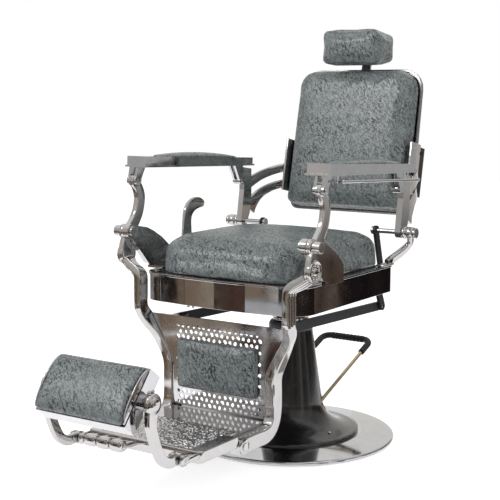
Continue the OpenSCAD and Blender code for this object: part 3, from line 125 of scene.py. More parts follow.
# Strokes in several directions, the strongest of them showing at each point
def strokes(tree, place, turns, length, width, span):
    across = width * mm * noiseSpan
    strongest = None
    for turn in turns:
        mapped = addNode(tree, "Mapping", {"vector_type": "TEXTURE"},
                         {"Rotation": turn, "Scale": (length * mm * noiseSpan, across, across)}, {"Vector": place})
        field = addNode(tree, "TexNoise", values={"Scale": 1.0, "Detail": 1.5, "Roughness": 0.5},
                        links={"Vector": mapped.outputs[0]})
        layer = addNode(tree, "MapRange", {"interpolation_type": "SMOOTHSTEP"},
                        {"From Min": span[0], "From Max": span[1]}, {"Value": field.outputs[0]}).outputs[0]
        strongest = layer if strongest is None else addNode(
            tree, "Math", {"operation": "MAXIMUM"}, links={0: strongest, 1: layer}).outputs[0]
    return strongest


def makeLeather(name, look):
    material, tree = newMaterial(name)
    place = addNode(tree, "TexCoord").outputs["Object"]
    warp = addNode(tree, "TexNoise", values={"Scale": 45.0, "Detail": 1.0}, links={"Vector": place})
    push = addNode(tree, "VectorMath", {"operation": "MULTIPLY_ADD"}, {1: (look["bend"],) * 3},
                   {0: warp.outputs["Color"], 2: place}).outputs[0]
    dark = strokes(tree, push, look["creaseTurns"], look["creaseLength"], look["creaseWidth"], look["creaseRange"])
    pale = strokes(tree, push, look["rubTurns"], look["rubLength"], look["rubWidth"], look["rubRange"])
    cloud = addNode(tree, "TexNoise", values={"Scale": 1 / (look["mottle"] * mm), "Detail": 4.0},
                    links={"Vector": place}).outputs[0]
    patch = addNode(tree, "MapRange",
                    values={"From Min": 0.35, "From Max": 0.65, "To Min": 0.4, "To Max": 1.0},
                    links={"Value": cloud}).outputs[0]
    darkShare = addNode(tree, "Math", {"operation": "MULTIPLY"}, links={0: dark, 1: patch}).outputs[0]
    base = addNode(tree, "Mix", {"data_type": "RGBA"},
                   {6: toLinear(look["mid"]), 7: toLinear(look["dark"])}, {0: darkShare}).outputs[2]
    paleShare = addNode(tree, "Math", {"operation": "MULTIPLY"}, {1: look["rubShare"]},
                        {0: pale}).outputs[0]
    rubbed = addNode(tree, "Mix", {"data_type": "RGBA"}, {7: toLinear(look["pale"])},
                     {0: paleShare, 6: base}).outputs[2]
    # Sewn lines sink, and painted shade darkens them
    seamShade = addNode(tree, "Attribute", {"attribute_name": "seamShade"}).outputs["Fac"]
    seamShadeShare = addNode(tree, "Math", {"operation": "MULTIPLY"}, {1: look["seamShadeShare"]},
                        {0: seamShade}).outputs[0]
    coloured = addNode(tree, "Mix", {"data_type": "RGBA"}, {7: toLinear(look["seamShade"])},
                       {0: seamShadeShare, 6: rubbed}).outputs[2]
    grain = addNode(tree, "TexNoise", values={"Scale": look["grainScale"], "Detail": 2.0},
                    links={"Vector": place}).outputs[0]
    height = addNode(tree, "Math", {"operation": "MULTIPLY_ADD"}, {1: -1.0}, {0: dark, 2: grain}).outputs[0]
    bump = addNode(tree, "Bump",
                   values={"Strength": look["bumpStrength"], "Distance": look["bumpDepth"] * mm},
                   links={"Height": height})
    rough = addNode(tree, "MapRange",
                    values={"To Min": look["roughness"], "To Max": look["roughness"] + look["creaseRoughness"]},
                    links={"Value": dark}).outputs[0]
    shader = addNode(tree, "BsdfPrincipled",
                     values={"IOR": 1.5, "Coat Weight": look["coat"], "Coat Roughness": look["coatRoughness"]},
                     links={"Base Color": coloured, "Roughness": rough, "Normal": bump.outputs[0]})
    finishMaterial(tree, shader)
    return material


# Bright chromium plate over polished steel or over a softer casting: mirror-like, with buffing marks
buffing = {"waviness": 0.05, "waveDepth": 2, "smearScale": 28.0, "smearRange": (0.35, 0.75), "smearRoughness": 0.09,
           "smearTone": 0.86}


def makeChrome(name, colour, roughness, waveSize):
    material, tree = newMaterial(name)
    place = addNode(tree, "TexCoord").outputs["Object"]
    wave = addNode(tree, "TexNoise", values={"Scale": 1 / (waveSize * mm), "Detail": 2.0},
                   links={"Vector": place})
    bump = addNode(tree, "Bump",
                   values={"Strength": buffing["waviness"], "Distance": buffing["waveDepth"] * mm},
                   links={"Height": wave.outputs[0]})
    smear = addNode(tree, "TexNoise",
                    values={"Scale": buffing["smearScale"], "Detail": 5.0, "Roughness": 0.7}, links={"Vector": place})
    low, high = buffing["smearRange"]
    rough = addNode(tree, "MapRange",
                    values={"From Min": low, "From Max": high, "To Min": roughness,
                            "To Max": roughness + buffing["smearRoughness"]}, links={"Value": smear.outputs[0]})
    smeared = tuple(buffing["smearTone"] * c for c in toLinear(colour)[:3]) + (1.0,)
    tone = setRamp(addNode(tree, "ValToRGB", links={"Fac": smear.outputs[0]}),
                   [(0.3, colour), (0.8, smeared)])
    shader = addNode(tree, "BsdfPrincipled", values={"Metallic": 1.0},
                     links={"Base Color": tone.outputs[0], "Roughness": rough.outputs[0], "Normal": bump.outputs[0]})
    finishMaterial(tree, shader)
    return material


# Painted, moulded and coated surfaces: one colour with grain, wear and a little unevenness
def makeCoated(name, colour, worn, roughness, grainSize, bumpHeight, coat=0.0):
    material, tree = newMaterial(name)
    place = addNode(tree, "TexCoord").outputs["Object"]
    grain = addNode(tree, "TexNoise", values={"Scale": 1 / (grainSize * mm), "Detail": 3.0},
                    links={"Vector": place})
    patch = addNode(tree, "TexNoise", values={"Scale": 9.0, "Detail": 5.0, "Roughness": 0.65},
                    links={"Vector": place})
    share = addNode(tree, "MapRange", values={"From Min": 0.45, "From Max": 0.75},
                    links={"Value": patch.outputs[0]})
    tone = addNode(tree, "Mix", {"data_type": "RGBA"}, {6: toLinear(colour), 7: toLinear(worn)},
                   {0: share.outputs[0]})
    rough = addNode(tree, "MapRange", values={"To Min": roughness - 0.05, "To Max": roughness + 0.12},
                    links={"Value": grain.outputs[0]})
    bump = addNode(tree, "Bump", values={"Strength": 0.4, "Distance": bumpHeight * mm},
                   links={"Height": grain.outputs[0]})
    shader = addNode(tree, "BsdfPrincipled", values={"Coat Weight": coat, "Coat Roughness": 0.1},
                     links={"Base Color": tone.outputs[2], "Roughness": rough.outputs[0], "Normal": bump.outputs[0]})
    finishMaterial(tree, shader)
    return material


# Birch plywood coloured near black as painted shade for the dark gap under the cushion: rotary-cut veneer whose long
# figure still shows
veneer = {"figureScale": (70.0, 7.0, 200.0), "tones": [(0.35, "#2b2521"), (0.55, "#352d27"), (0.7, "#1f1a17")]}


def makePlywood():
    material, tree = newMaterial("plywoodDarkAsGapShade")
    place = addNode(tree, "TexCoord").outputs["Object"]
    mapped = addNode(tree, "Mapping", values={"Scale": veneer["figureScale"]}, links={"Vector": place})
    figure = addNode(tree, "TexNoise", values={"Scale": 1.0, "Detail": 5.0, "Distortion": 0.6},
                     links={"Vector": mapped.outputs[0]})
    tone = setRamp(addNode(tree, "ValToRGB", links={"Fac": figure.outputs[0]}), veneer["tones"])
    bump = addNode(tree, "Bump", values={"Strength": 0.3, "Distance": 0.4 * mm},
                   links={"Height": figure.outputs[0]})
    shader = addNode(tree, "BsdfPrincipled", values={"Roughness": 0.62},
                     links={"Base Color": tone.outputs[0], "Normal": bump.outputs[0]})
    finishMaterial(tree, shader)
    return material


crushedLeather = makeLeather("crushedLeatherette", leather)
platedSheet = makeChrome("chromedSheetSteel", "#c8c8ca", roughness=0.045, waveSize=160)
platedCasting = makeChrome("chromedCasting", "#c4c2c1", roughness=0.06, waveSize=60)
platedRod = makeChrome("chromedRodWarm", "#b3a489", roughness=0.10, waveSize=60)
brushedShell = makeChrome("brushedStainlessShell", "#8f8d8b", roughness=0.24, waveSize=80)
# Powder coat: fine orange peel that scatters the highlight
blackCoat = makeCoated("blackPowderCoatedSteel", "#0d0c0c", "#191716", roughness=0.5, grainSize=2.5, bumpHeight=0.15)
# Stoved enamel on the column cover: smooth, with one long vertical highlight
coverEnamel = makeCoated("blackStovedEnamel", "#161515", "#1a1918", roughness=0.2, grainSize=25.0, bumpHeight=0.02,
                         coat=0.3)
# Moulded ABS cap: satin grey with a fine spark-eroded grain
capPlastic = makeCoated("satinGreyMouldedPlastic", "#4d5052", "#5a5d5f", roughness=0.45, grainSize=2.0,
                        bumpHeight=0.1)
# Moulded nitrile rubber: matt, slightly dusty
gripRubber = makeCoated("blackNitrileRubber", "#141414", "#26272a", roughness=0.62, grainSize=2.2, bumpHeight=0.2)
# Waxed thread: pale, slightly fuzzy
paleThread = makeCoated("waxedPaleThread", "#c9c6ba", "#a9a699", roughness=0.6, grainSize=1.5, bumpHeight=0.2)
plywood = makePlywood()
print("materials ready")


# One where the ray is of a named kind, so that only the eye and mirrors see a surface at full strength
def seenBy(tree, kinds):
    rays = addNode(tree, "LightPath").outputs
    seen = rays[kinds[0]]
    for kind in kinds[1:]:
        seen = addNode(tree, "Math", {"operation": "MAXIMUM"}, links={0: seen, 1: rays[kind]}).outputs[0]
    return seen


# White studio: camera, mirror and glass rays see the white cyclorama, soft light comes from a dimmer one
light = {"background": 1.0, "ambient": 0.62, "key": 62, "fill": 16, "rim": 18}
world = bpy.data.worlds.new("whiteStudio")
scene.world = world
world.use_nodes = True
tree = world.node_tree
tree.nodes.clear()
seen = seenBy(tree, ["Is Camera Ray", "Is Glossy Ray", "Is Transmission Ray"])
softSky = addNode(tree, "Background", values={"Color": toLinear("#fbfbff"), "Strength": light["ambient"]})
whiteSky = addNode(tree, "Background",
                   values={"Color": toLinear("#ffffff"), "Strength": light["background"]})
sky = addNode(tree, "MixShader", links={0: seen, 1: softSky.outputs[0], 2: whiteSky.outputs[0]})
addNode(tree, "OutputWorld", links={"Surface": sky.outputs[0]})


def areaLamp(name, place, target, size, power):
    data = bpy.data.lights.new(name, "AREA")
    data.shape = "RECTANGLE"
    data.size, data.size_y = size
    data.energy = power
    lamp = bpy.data.objects.new(name, data)
    scene.collection.objects.link(lamp)
    lamp.location = place
    lamp.rotation_euler = (Vector(target) - Vector(place)).to_track_quat("-Z", "Y").to_euler()


areaLamp("keySoftbox", place=(-1.5, -2.9, 2.7), target=(0.0, -0.2, 0.55), size=(1.7, 1.3), power=light["key"])
areaLamp("fillSoftbox", place=(2.9, -1.0, 1.9), target=(0.0, 0.0, 0.6), size=(1.0, 1.6), power=light["fill"])
areaLamp("rearSoftbox", place=(0.6, 2.8, 2.4), target=(0.0, 0.1, 0.7), size=(1.6, 1.0), power=light["rim"])

floorLook = {"halfSize": 9.0, "below": 0.5, "colour": "#eeeeee", "lift": 0.58}
floorMesh = bpy.data.meshes.new("studioFloor")
bm = bmesh.new()
bmesh.ops.create_grid(bm, x_segments=1, y_segments=1, size=floorLook["halfSize"])
bm.to_mesh(floorMesh)
bm.free()
floor = bpy.data.objects.new("studioFloor", floorMesh)
scene.collection.objects.link(floor)
floor.location.z = cadBox[0][2] - floorLook["below"] * mm
floorPaint, tree = newMaterial("whiteMattFloor")
lift = addNode(tree, "Math", {"operation": "MULTIPLY"}, {1: floorLook["lift"]},
               {0: seenBy(tree, ["Is Camera Ray", "Is Glossy Ray"])})
matt = addNode(tree, "BsdfDiffuse", values={"Color": toLinear(floorLook["colour"])})
glow = addNode(tree, "Emission", values={"Color": toLinear("#ffffff")},
               links={"Strength": lift.outputs[0]})
finishMaterial(tree, addNode(tree, "AddShader", links={0: matt.outputs[0], 1: glow.outputs[0]}))
floorMesh.materials.append(floorPaint)

# Room round the studio, seen only in the chrome: wood-brown flats, dark gaps and white screens
surround = {
    "radius": 1.75, "low": 0.02, "high": 1.9, "near": 1.0, "floor": 0.012, "ahead": 0.25,
    "arcStart": -200, "arc": 220, "arcSteps": 48, "turn": 0.08, "sway": 0.16, "strength": 0.95,
    "stripe": "#2c2422", "stripeScale": 22.0, "stripeRange": (0.53, 0.57), "stripeShare": 0.8, "stripeEnd": 0.73,
    "paleTone": "#fbfaf8", "paleFrom": 0.34, "paleTo": 0.62, "paleShare": 0.55,
}
roomBands = [
    (0.00, "#f4f2ef"), (0.03, "#3a2d28"), (0.05, "#9c8d7f"), (0.075, "#262b38"), (0.095, "#ece8e2"),
    (0.108, "#1d1a1a"), (0.116, "#8e7a69"), (0.14, "#a39484"), (0.162, "#5d463c"), (0.176, "#3a2a26"),
    (0.19, "#94826f"), (0.205, "#d6cec4"), (0.225, "#22272f"), (0.245, "#8e8074"), (0.29, "#f1eeea"),
    (0.31, "#4a3b34"), (0.35, "#94826f"), (0.39, "#2a2220"), (0.42, "#8a7a6d"), (0.46, "#f5f3f0"),
    (0.49, "#2a2220"), (0.515, "#8a7a6d"), (0.55, "#e9e4dc"), (0.57, "#241c1a"), (0.62, "#6a5a50"),
    (0.645, "#1b1718"), (0.69, "#96867a"), (0.73, "#f2efea"), (0.80, "#fbfaf8"), (0.86, "#a9a5a2"),
    (0.87, "#fbfaf8"), (0.95, "#544540"),
]
ringMesh = bpy.data.meshes.new("roomSurround")
bm = bmesh.new()
bmesh.ops.create_circle(bm, cap_ends=False, segments=96, radius=surround["radius"])
bmesh.ops.translate(bm, verts=bm.verts, vec=(0.0, -surround["ahead"], surround["low"]))
wall = bmesh.ops.extrude_edge_only(bm, edges=bm.edges[:])
bmesh.ops.translate(bm, verts=[g for g in wall["geom"] if isinstance(g, bmesh.types.BMVert)],
                    vec=(0.0, 0.0, surround["high"] - surround["low"]))
# A low apron of the same bands on the floor in front, for the lower castings
for i in range(surround["arcSteps"]):
    corners = []
    for reach, step in (("near", i), ("radius", i), ("radius", i + 1), ("near", i + 1)):
        angle = math.radians(surround["arcStart"] + surround["arc"] * step / surround["arcSteps"])
        corners.append(bm.verts.new((surround[reach] * math.cos(angle),
                                     surround[reach] * math.sin(angle) - surround["ahead"], surround["floor"])))
    bm.faces.new(corners)
bm.to_mesh(ringMesh)
bm.free()
ring = bpy.data.objects.new("roomSurround", ringMesh)
scene.collection.objects.link(ring)
ring.visible_camera = ring.visible_diffuse = ring.visible_shadow = ring.visible_transmission = False
roomPaint, tree = newMaterial("roomReflections")
place = addNode(tree, "TexCoord").outputs["Object"]
spot = addNode(tree, "SeparateXYZ", links={0: place}).outputs
ahead = addNode(tree, "Math", {"operation": "ADD"}, {1: surround["ahead"]}, {0: spot[1]})
bearing = addNode(tree, "Math", {"operation": "ARCTAN2"}, links={0: ahead.outputs[0], 1: spot[0]})
sway = addNode(tree, "TexNoise", values={"Scale": 3.0, "Detail": 3.0})
swayed = addNode(tree, "Math", {"operation": "MULTIPLY_ADD"}, {1: surround["sway"]},
                 {0: sway.outputs[0], 2: bearing.outputs[0]})
share = addNode(tree, "MapRange",
                values={"From Min": surround["turn"] - math.pi, "From Max": surround["turn"] + math.pi},
                links={"Value": swayed.outputs[0]})
bands = setRamp(addNode(tree, "ValToRGB", links={"Fac": share.outputs[0]}), roomBands, "CONSTANT")
# Narrow dark stripes between the bands, left off the pale far side
stripe = addNode(tree, "TexNoise", {"noise_dimensions": "1D"},
                 {"Scale": surround["stripeScale"], "Detail": 3.0}, {"W": swayed.outputs[0]})
low, high = surround["stripeRange"]
stripeShare = addNode(tree, "MapRange",
                      values={"From Min": low, "From Max": high, "To Max": surround["stripeShare"]},
                      links={"Value": stripe.outputs[0]})
nearSide = addNode(tree, "Math", {"operation": "LESS_THAN"}, {1: surround["stripeEnd"]},
                   {0: share.outputs[0]})
stripeFactor = addNode(tree, "Math", {"operation": "MULTIPLY"},
                       links={0: stripeShare.outputs[0], 1: nearSide.outputs[0]})
striped = addNode(tree, "Mix", {"data_type": "RGBA"}, {7: toLinear(surround["stripe"])},
                  {0: stripeFactor.outputs[0], 6: bands.outputs[0]})
# Higher up the room is paler, as the armrests and the back's bars mirror it
climb = addNode(tree, "MapRange",
                values={"From Min": surround["paleFrom"], "From Max": surround["paleTo"],
                        "To Max": surround["paleShare"]}, links={"Value": spot[2]})
paler = addNode(tree, "Mix", {"data_type": "RGBA"}, {7: toLinear(surround["paleTone"])},
                {0: climb.outputs[0], 6: striped.outputs[2]})
glow = addNode(tree, "Emission", values={"Strength": surround["strength"]},
               links={"Color": paler.outputs[2]})
finishMaterial(tree, glow)
ringMesh.materials.append(roomPaint)
print("studio ready")


# Shaping helpers: lengths in millimetres, made metres on the way in
sides = (("Left", False), ("Right", True))


def placed(*steps):
    whole = Matrix.Identity(4)
    for kind, amount in steps:
        if kind == "move":
            whole = whole @ Matrix.Translation(Vector(amount) * mm)
        else:
            whole = whole @ Matrix.Rotation(math.radians(amount), 4, kind)
    return whole


def makePiece(bm, name, material, body, replaced=(), mirrored=False, sharp=38):
    bmesh.ops.remove_doubles(bm, verts=bm.verts, dist=0.00002)
    if mirrored:
        bmesh.ops.scale(bm, vec=(-1.0, 1.0, 1.0), verts=bm.verts)
    bmesh.ops.recalc_face_normals(bm, faces=bm.faces)
    mesh = bpy.data.meshes.new(name)
    bm.to_mesh(mesh)
    bm.free()
    mesh.materials.append(material)
    mesh.shade_smooth()
    mesh.set_sharp_from_angle(angle=math.radians(sharp))
    piece = bpy.data.objects.new(name, mesh)
    scene.collection.objects.link(piece)
    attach(piece, body)
    if replaced:
        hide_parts(*replaced)
    return piece


# Smooth rows of numbers between the given ones
def smoothRows(rows, steps):
    smooth = []
    for i in range(len(rows) - 1):
        before, start, end, after = rows[max(i - 1, 0)], rows[i], rows[i + 1], rows[min(i + 2, len(rows) - 1)]
        for k in range(steps):
            t = k / steps
            smooth.append([0.5 * (2 * b + (c - a) * t + (2 * a - 5 * b + 4 * c - d) * t * t
                                  + (3 * b - a - 3 * c + d) * t ** 3)
                           for a, b, c, d in zip(before, start, end, after)])
    smooth.append(list(rows[-1]))
    return smooth


# Each edge that meets some points, once
def edgesOf(verts):
    return list(dict.fromkeys(edge for vert in verts for edge in vert.link_edges))


# Directions across a bar's width and through its thickness, between the points before and after a place on it
def barDirections(before, after):
    heading = (after - before).normalized()
    across = Vector((1.0, 0.0, 0.0)).cross(heading).normalized()
    return across, heading.cross(across).normalized()


# A bar swept along rows of x, y, z, half thickness and half width
def sweepBar(bm, rows, steps=6, segments=20, squareness=5.0):
    rows = smoothRows(rows, steps)
    path = [Vector(row[:3]) * mm for row in rows]
    last = len(path) - 1
    loops = []
    for i, row in enumerate(rows):
        across, thick = barDirections(path[max(i - 1, 0)], path[min(i + 1, last)])
        verts = bmesh.ops.create_circle(bm, cap_ends=False, segments=segments, radius=1.0)["verts"]
        loops.append(edgesOf(verts))
        for vert in verts:
            u, w = (math.copysign(abs(c) ** (2 / squareness), c) for c in vert.co.xy)
            vert.co = path[i] + thick * (u * row[3] * mm) + across * (w * row[4] * mm)
    for one, two in zip(loops, loops[1:]):
        bmesh.ops.bridge_loops(bm, edges=one + two)
    for end in (loops[0], loops[-1]):
        bmesh.ops.contextual_create(bm, geom=end)


# A turned form: profile of distance along the axis and radius
def turned(bm, profile, centre, axis=(1.0, 0.0, 0.0), steps=28):
    along = Vector(axis).normalized()
    out = along.orthogonal().normalized()
    verts = [bm.verts.new(Vector(centre) * mm + along * (x * mm) + out * (r * mm)) for x, r in profile]
    edges = [bm.edges.new(pair) for pair in zip(verts, verts[1:])]
    bmesh.ops.spin(bm, geom=verts + edges, cent=Vector(centre) * mm, axis=along, angle=2 * math.pi, steps=steps,
                   use_merge=True, use_duplicate=False)


def ballProfile(radius, squash=1.0, steps=6):
    return [(-radius * squash * math.cos(math.pi * i / steps), radius * math.sin(math.pi * i / steps))
            for i in range(steps + 1)]


def roundEdges(bm, edges, radius, segments):
    bmesh.ops.bevel(bm, geom=edges, offset=radius * mm, offset_type="OFFSET", segments=segments, profile=0.5,
                    affect="EDGES", material=-1)


# A block between two corners with its edges rounded
def roundedBox(bm, low, high, radius, matrix=None, segments=3):
    verts = bmesh.ops.create_cube(bm, size=1.0)["verts"]
    low, high = Vector(low) * mm, Vector(high) * mm
    bmesh.ops.scale(bm, vec=high - low, verts=verts)
    bmesh.ops.translate(bm, vec=(high + low) / 2, verts=verts)
    if matrix is not None:
        bmesh.ops.transform(bm, matrix=matrix, verts=verts)
    if radius:
        roundEdges(bm, edgesOf(verts), radius, segments)


# Frames of the parts that stand askew
backFrame = placed(("move", (0, 271, 642)), ("X", -11.5))
armFrame = placed(("move", (289, -337, 820)), ("Z", 1.9), ("X", -3))
restFrame = placed(("move", (0, -832, 304)), ("X", 50.5))


# Soft pieces: a rounded block is remeshed, crowned, swollen by cloth pressure and sewn
def padBlock(spec):
    width, length, height = (spec[key] * mm for key in ("width", "length", "side"))
    bm = bmesh.new()
    bmesh.ops.create_cube(bm, size=1.0)
    bmesh.ops.scale(bm, vec=Vector((spec["width"], spec["length"], spec["side"])) * mm, verts=bm.verts)
    bmesh.ops.translate(bm, vec=(0, 0, height / 2), verts=bm.verts)
    for sign, radius in zip((1, -1), spec["corners"]):
        upright = [e for e in bm.edges if abs(e.verts[0].co.z - e.verts[1].co.z) > height * 0.9
                   and e.verts[0].co.y * sign > length * 0.3 and e.calc_length() < height * 1.01
                   and abs(e.verts[0].co.x) > width * 0.49]
        roundEdges(bm, upright, radius, 9)
    for level, radius in ((height, spec["shoulder"]), (0, spec["foot"])):
        rim = [e for e in bm.edges if all(abs(v.co.z - level) < 1e-6 for v in e.verts) and len(e.link_faces) == 2
               and abs(e.link_faces[0].normal.z) + abs(e.link_faces[1].normal.z) < 1.5]
        roundEdges(bm, rim, radius, 5)
    return bm


def softPiece(name, body, replaced, spec, matrix, shape):
    bm = padBlock(spec)
    mesh = bpy.data.meshes.new(name)
    bm.to_mesh(mesh)
    bm.free()
    block = bpy.data.objects.new(name + "Block", mesh)
    scene.collection.objects.link(block)
    remesh = block.modifiers.new("evenMesh", "REMESH")
    remesh.mode = "VOXEL"
    remesh.voxel_size = spec["voxel"] * mm
    bpy.context.view_layer.update()
    even = bpy.data.meshes.new_from_object(block.evaluated_get(bpy.context.evaluated_depsgraph_get()))
    bpy.data.objects.remove(block)
    bm = bmesh.new()
    bm.from_mesh(even)
    bmesh.ops.smooth_vert(bm, verts=bm.verts, factor=0.5, use_axis_x=True, use_axis_y=True, use_axis_z=True)
    for vert in bm.verts:
        vert.co = shape(vert.co / mm) * mm
    base = min(v.co.z for v in bm.verts)
    held = [v.index for v in bm.verts if v.co.z < base + spec["voxel"] * mm * 0.7]
    bmesh.ops.transform(bm, matrix=matrix, verts=bm.verts)
    bm.to_mesh(even)
    bm.free()
    even.name = name
    even.materials.clear()
    even.materials.append(crushedLeather)
    even.shade_smooth()
    piece = bpy.data.objects.new(name, even)
    scene.collection.objects.link(piece)
    if spec["cap"]:
        swell(piece, held, spec["cap"] * mm)
    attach(piece, body)
    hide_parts(*replaced)
    print("padded piece", name)
    return piece


# Cloth pressure fills the cover, each point moving no further than the cap
cover = {"quality": 4, "mass": 0.3, "stretch": 12, "shear": 6, "bending": 1.5, "pressure": 4, "frames": 20}


def swell(piece, held, cap):
    start = [v.co.copy() for v in piece.data.vertices]
    fixed = piece.vertex_groups.new(name="fixed")
    fixed.add(held, 1.0, "REPLACE")
    cloth = piece.modifiers.new("cover", "CLOTH")
    cloth.settings.quality = cover["quality"]
    cloth.settings.mass = cover["mass"]
    cloth.settings.tension_stiffness = cloth.settings.compression_stiffness = cover["stretch"]
    cloth.settings.shear_stiffness = cover["shear"]
    cloth.settings.bending_stiffness = cover["bending"]
    cloth.settings.use_pressure = True
    cloth.settings.uniform_pressure_force = cover["pressure"]
    cloth.settings.vertex_group_mass = "fixed"
    cloth.settings.effector_weights.gravity = 0
    cloth.collision_settings.use_collision = False
    cloth.point_cache.frame_start, cloth.point_cache.frame_end = 1, cover["frames"]
    for number in range(1, cover["frames"] + 1):
        scene.frame_set(number)
    filled = piece.evaluated_get(bpy.context.evaluated_depsgraph_get())
    moved = [v.co.copy() for v in filled.data.vertices]
    piece.modifiers.remove(cloth)
    piece.vertex_groups.clear()
    scene.frame_set(1)
    for vert, old, new in zip(piece.data.vertices, start, moved):
        step = new - old
        vert.co = old + step * min(1.0, cap / max(step.length, 1e-9))


# Sinks (or with a negative depth raises) a sewn line along a path through the piece's surface, and marks painted
# shade along it, scaled by shade
def sewSeam(piece, path, width, depth, shade, closed=True):
    mesh = piece.data
    paintedShadeMarks = mesh.attributes.get("seamShade") or mesh.attributes.new("seamShade", "FLOAT", "POINT")
    points = [Vector(p) * mm for p in path]
    pairs = list(zip(points, points[1:] + (points[:1] if closed else [])))
    normals = [v.normal.copy() for v in mesh.vertices]
    reach = width * mm * 2.5
    for index, vert in enumerate(mesh.vertices):
        best = reach
        for a, b in pairs:
            if (vert.co - a).length > (b - a).length + reach:
                continue
            t = min(max((vert.co - a).dot(b - a) / max((b - a).length_squared, 1e-12), 0), 1)
            best = min(best, (vert.co - a.lerp(b, t)).length)
        if best < reach:
            pull = math.exp(-(best / (width * mm)) ** 2)
            vert.co -= normals[index] * depth * mm * pull
            paintedShadeMarks.data[index].value = max(paintedShadeMarks.data[index].value, pull * shade)


# Points round a rounded rectangle that stands off the pad's sides, at a height above its foot
def seamLoop(spec, off, z, front, rear=None, count=8):
    halfWidth, halfLength = spec["width"] / 2 + off, spec["length"] / 2 + off
    points = []
    for k, (sx, sy) in enumerate(((1, 1), (-1, 1), (-1, -1), (1, -1))):
        radius = rear if rear and sy > 0 else front
        for i in range(count + 1):
            a = math.radians(90 * k + 90 * i / count)
            points.append((sx * (halfWidth - radius) + radius * math.cos(a),
                           sy * (halfLength - radius) + radius * math.sin(a), z))
    return points


def lifted(points, matrix):
    return [tuple((matrix @ (Vector(p) * mm)) / mm) for p in points]


# Raises a pad's face in its middle, falling to nothing at the edges; gives back the place across and along
def crownPad(point, spec, share, acrossPower, alongPower):
    x, y = point.x / (spec["width"] / 2), point.y / (spec["length"] / 2)
    point.z += spec["crown"] * share * max(0.0, 1 - x * x) ** acrossPower * max(0.0, 1 - y * y) ** alongPower
    return x, y


seat = {"width": 464, "length": 452, "side": 82, "corners": (34, 88), "shoulder": 31, "foot": 4, "crown": 20,
        "voxel": 5.5, "cap": 9, "bow": 7, "middle": -120.5, "under": 509, "seamDrop": 12, "seamWidth": 3.0,
        "seamDepth": 2.4}


def crownSeat(point):
    x, y = crownPad(point, seat, max(0.0, point.z / seat["side"]) ** 2, 0.8, 0.8)
    point.y -= seat["bow"] * max(0.0, -y) * max(0.0, 1 - x * x)  # bowed front
    return point


seatPlace = placed(("move", (0, seat["middle"], seat["under"])))
seatPiece = softPiece("seatCushion", "seat", ["seat_cushion"], seat, seatPlace, crownSeat)

back = {"width": 406, "length": 426, "side": 56, "corners": (58, 26), "shoulder": 18, "foot": 4, "crown": 9,
        "voxel": 5.0, "cap": 6, "taper": 0.03}


def crownBack(point):
    point.x *= 1 - back["taper"] * (point.y / back["length"] + 0.5)
    crownPad(point, back, max(0.0, point.z / back["side"]) ** 2, 0.7, 0.7)
    return point


backPlace = backFrame @ placed(("move", (0, 59, 218)), ("X", 90))
softPiece("backCushion", "back", ["back_cushion"], back, backPlace, crownBack)

head = {"width": 192, "length": 102, "side": 130, "corners": (17, 17), "shoulder": 12, "foot": 12, "crown": 4,
        "voxel": 4.0, "cap": 5, "waist": 2.0, "weltWidth": 2.6, "weltHeight": 1.8, "tuck": 20, "turn": 9.5}


def crownHead(point):
    x, y = crownPad(point, head, max(0.0, point.z / head["side"]) ** 2, 1, 1)
    rise = min(max(point.z / head["side"], 0), 1)
    pull = head["waist"] * math.sin(math.pi * rise)
    point.x -= math.copysign(pull * (1 - y * y) * 0.5 * min(1, abs(x) * 2), point.x)
    narrow = head["tuck"] * (1 - rise) ** 1.3
    point.x *= 1 - narrow / head["width"]
    point.y *= 1 - narrow / head["length"]
    return point


headPlace = backFrame @ placed(("move", (0, 83.4, 508)), ("X", 90 + head["turn"]))
headPiece = softPiece("headrestCushion", "headrest", ["headrest_cushion"], head, headPlace, crownHead)

calf = {"width": 256, "length": 134, "side": 15, "corners": (12, 12), "shoulder": 8, "foot": 2, "crown": 7,
        "voxel": 4.0, "cap": 3}


def crownCalf(point):
    crownPad(point, calf, max(0.0, point.z / calf["side"]), 0.6, 0.6)
    return point


calfPlace = placed(("move", (0, -361.8, 273)), ("X", 90))
calfPiece = softPiece("calfPad", "leg_frame", ["calf_pad"], calf, calfPlace, crownCalf)

rest = {"width": 258, "length": 145, "side": 8, "corners": (4, 4), "shoulder": 3, "foot": 1, "crown": 19,
        "voxel": 4.0, "cap": 3, "endRound": 14, "endShare": 0.86}


# Height of the leg rest's face across its section: nearly flat, with a rounded edge above and below
def restRise(y):
    u = min(abs(y) / (rest["length"] / 2), 1.0)
    return rest["crown"] * (1 - u ** 2.6) ** 0.6


def crownRest(point):
    share = min(1.0, max(0.0, point.z / rest["side"]))
    end = min(1.0, (rest["width"] / 2 + 1 - abs(point.x)) / rest["endRound"])
    point.z += share * restRise(point.y) * (rest["endShare"] + (1 - rest["endShare"]) * math.sqrt(max(end, 0)))
    return point


restPlace = restFrame @ placed(("move", (0, -2, 29.3)))
softPiece("legRestCushion", "leg_pad", ["leg_rest_cushion"], rest, restPlace, crownRest)

armPad = {"width": 55, "length": 352, "side": 6, "corners": (24, 24), "shoulder": 3, "foot": 1, "crown": 12,
          "voxel": 3.5, "cap": 0}


def crownArm(point):
    crownPad(point, armPad, min(1.0, max(0.0, point.z / armPad["side"])), 0.6, 0.7)
    return point


for name, mirrored in sides:
    flip = Matrix.Scale(-1, 4, (1.0, 0.0, 0.0)) if mirrored else Matrix.Identity(4)
    place = flip @ armFrame @ placed(("move", (0, 262.2, -4.6)))
    softPiece("armPad" + name, "armrest_" + name.lower(), ["arm_pad_" + name.lower()], armPad, place, crownArm)

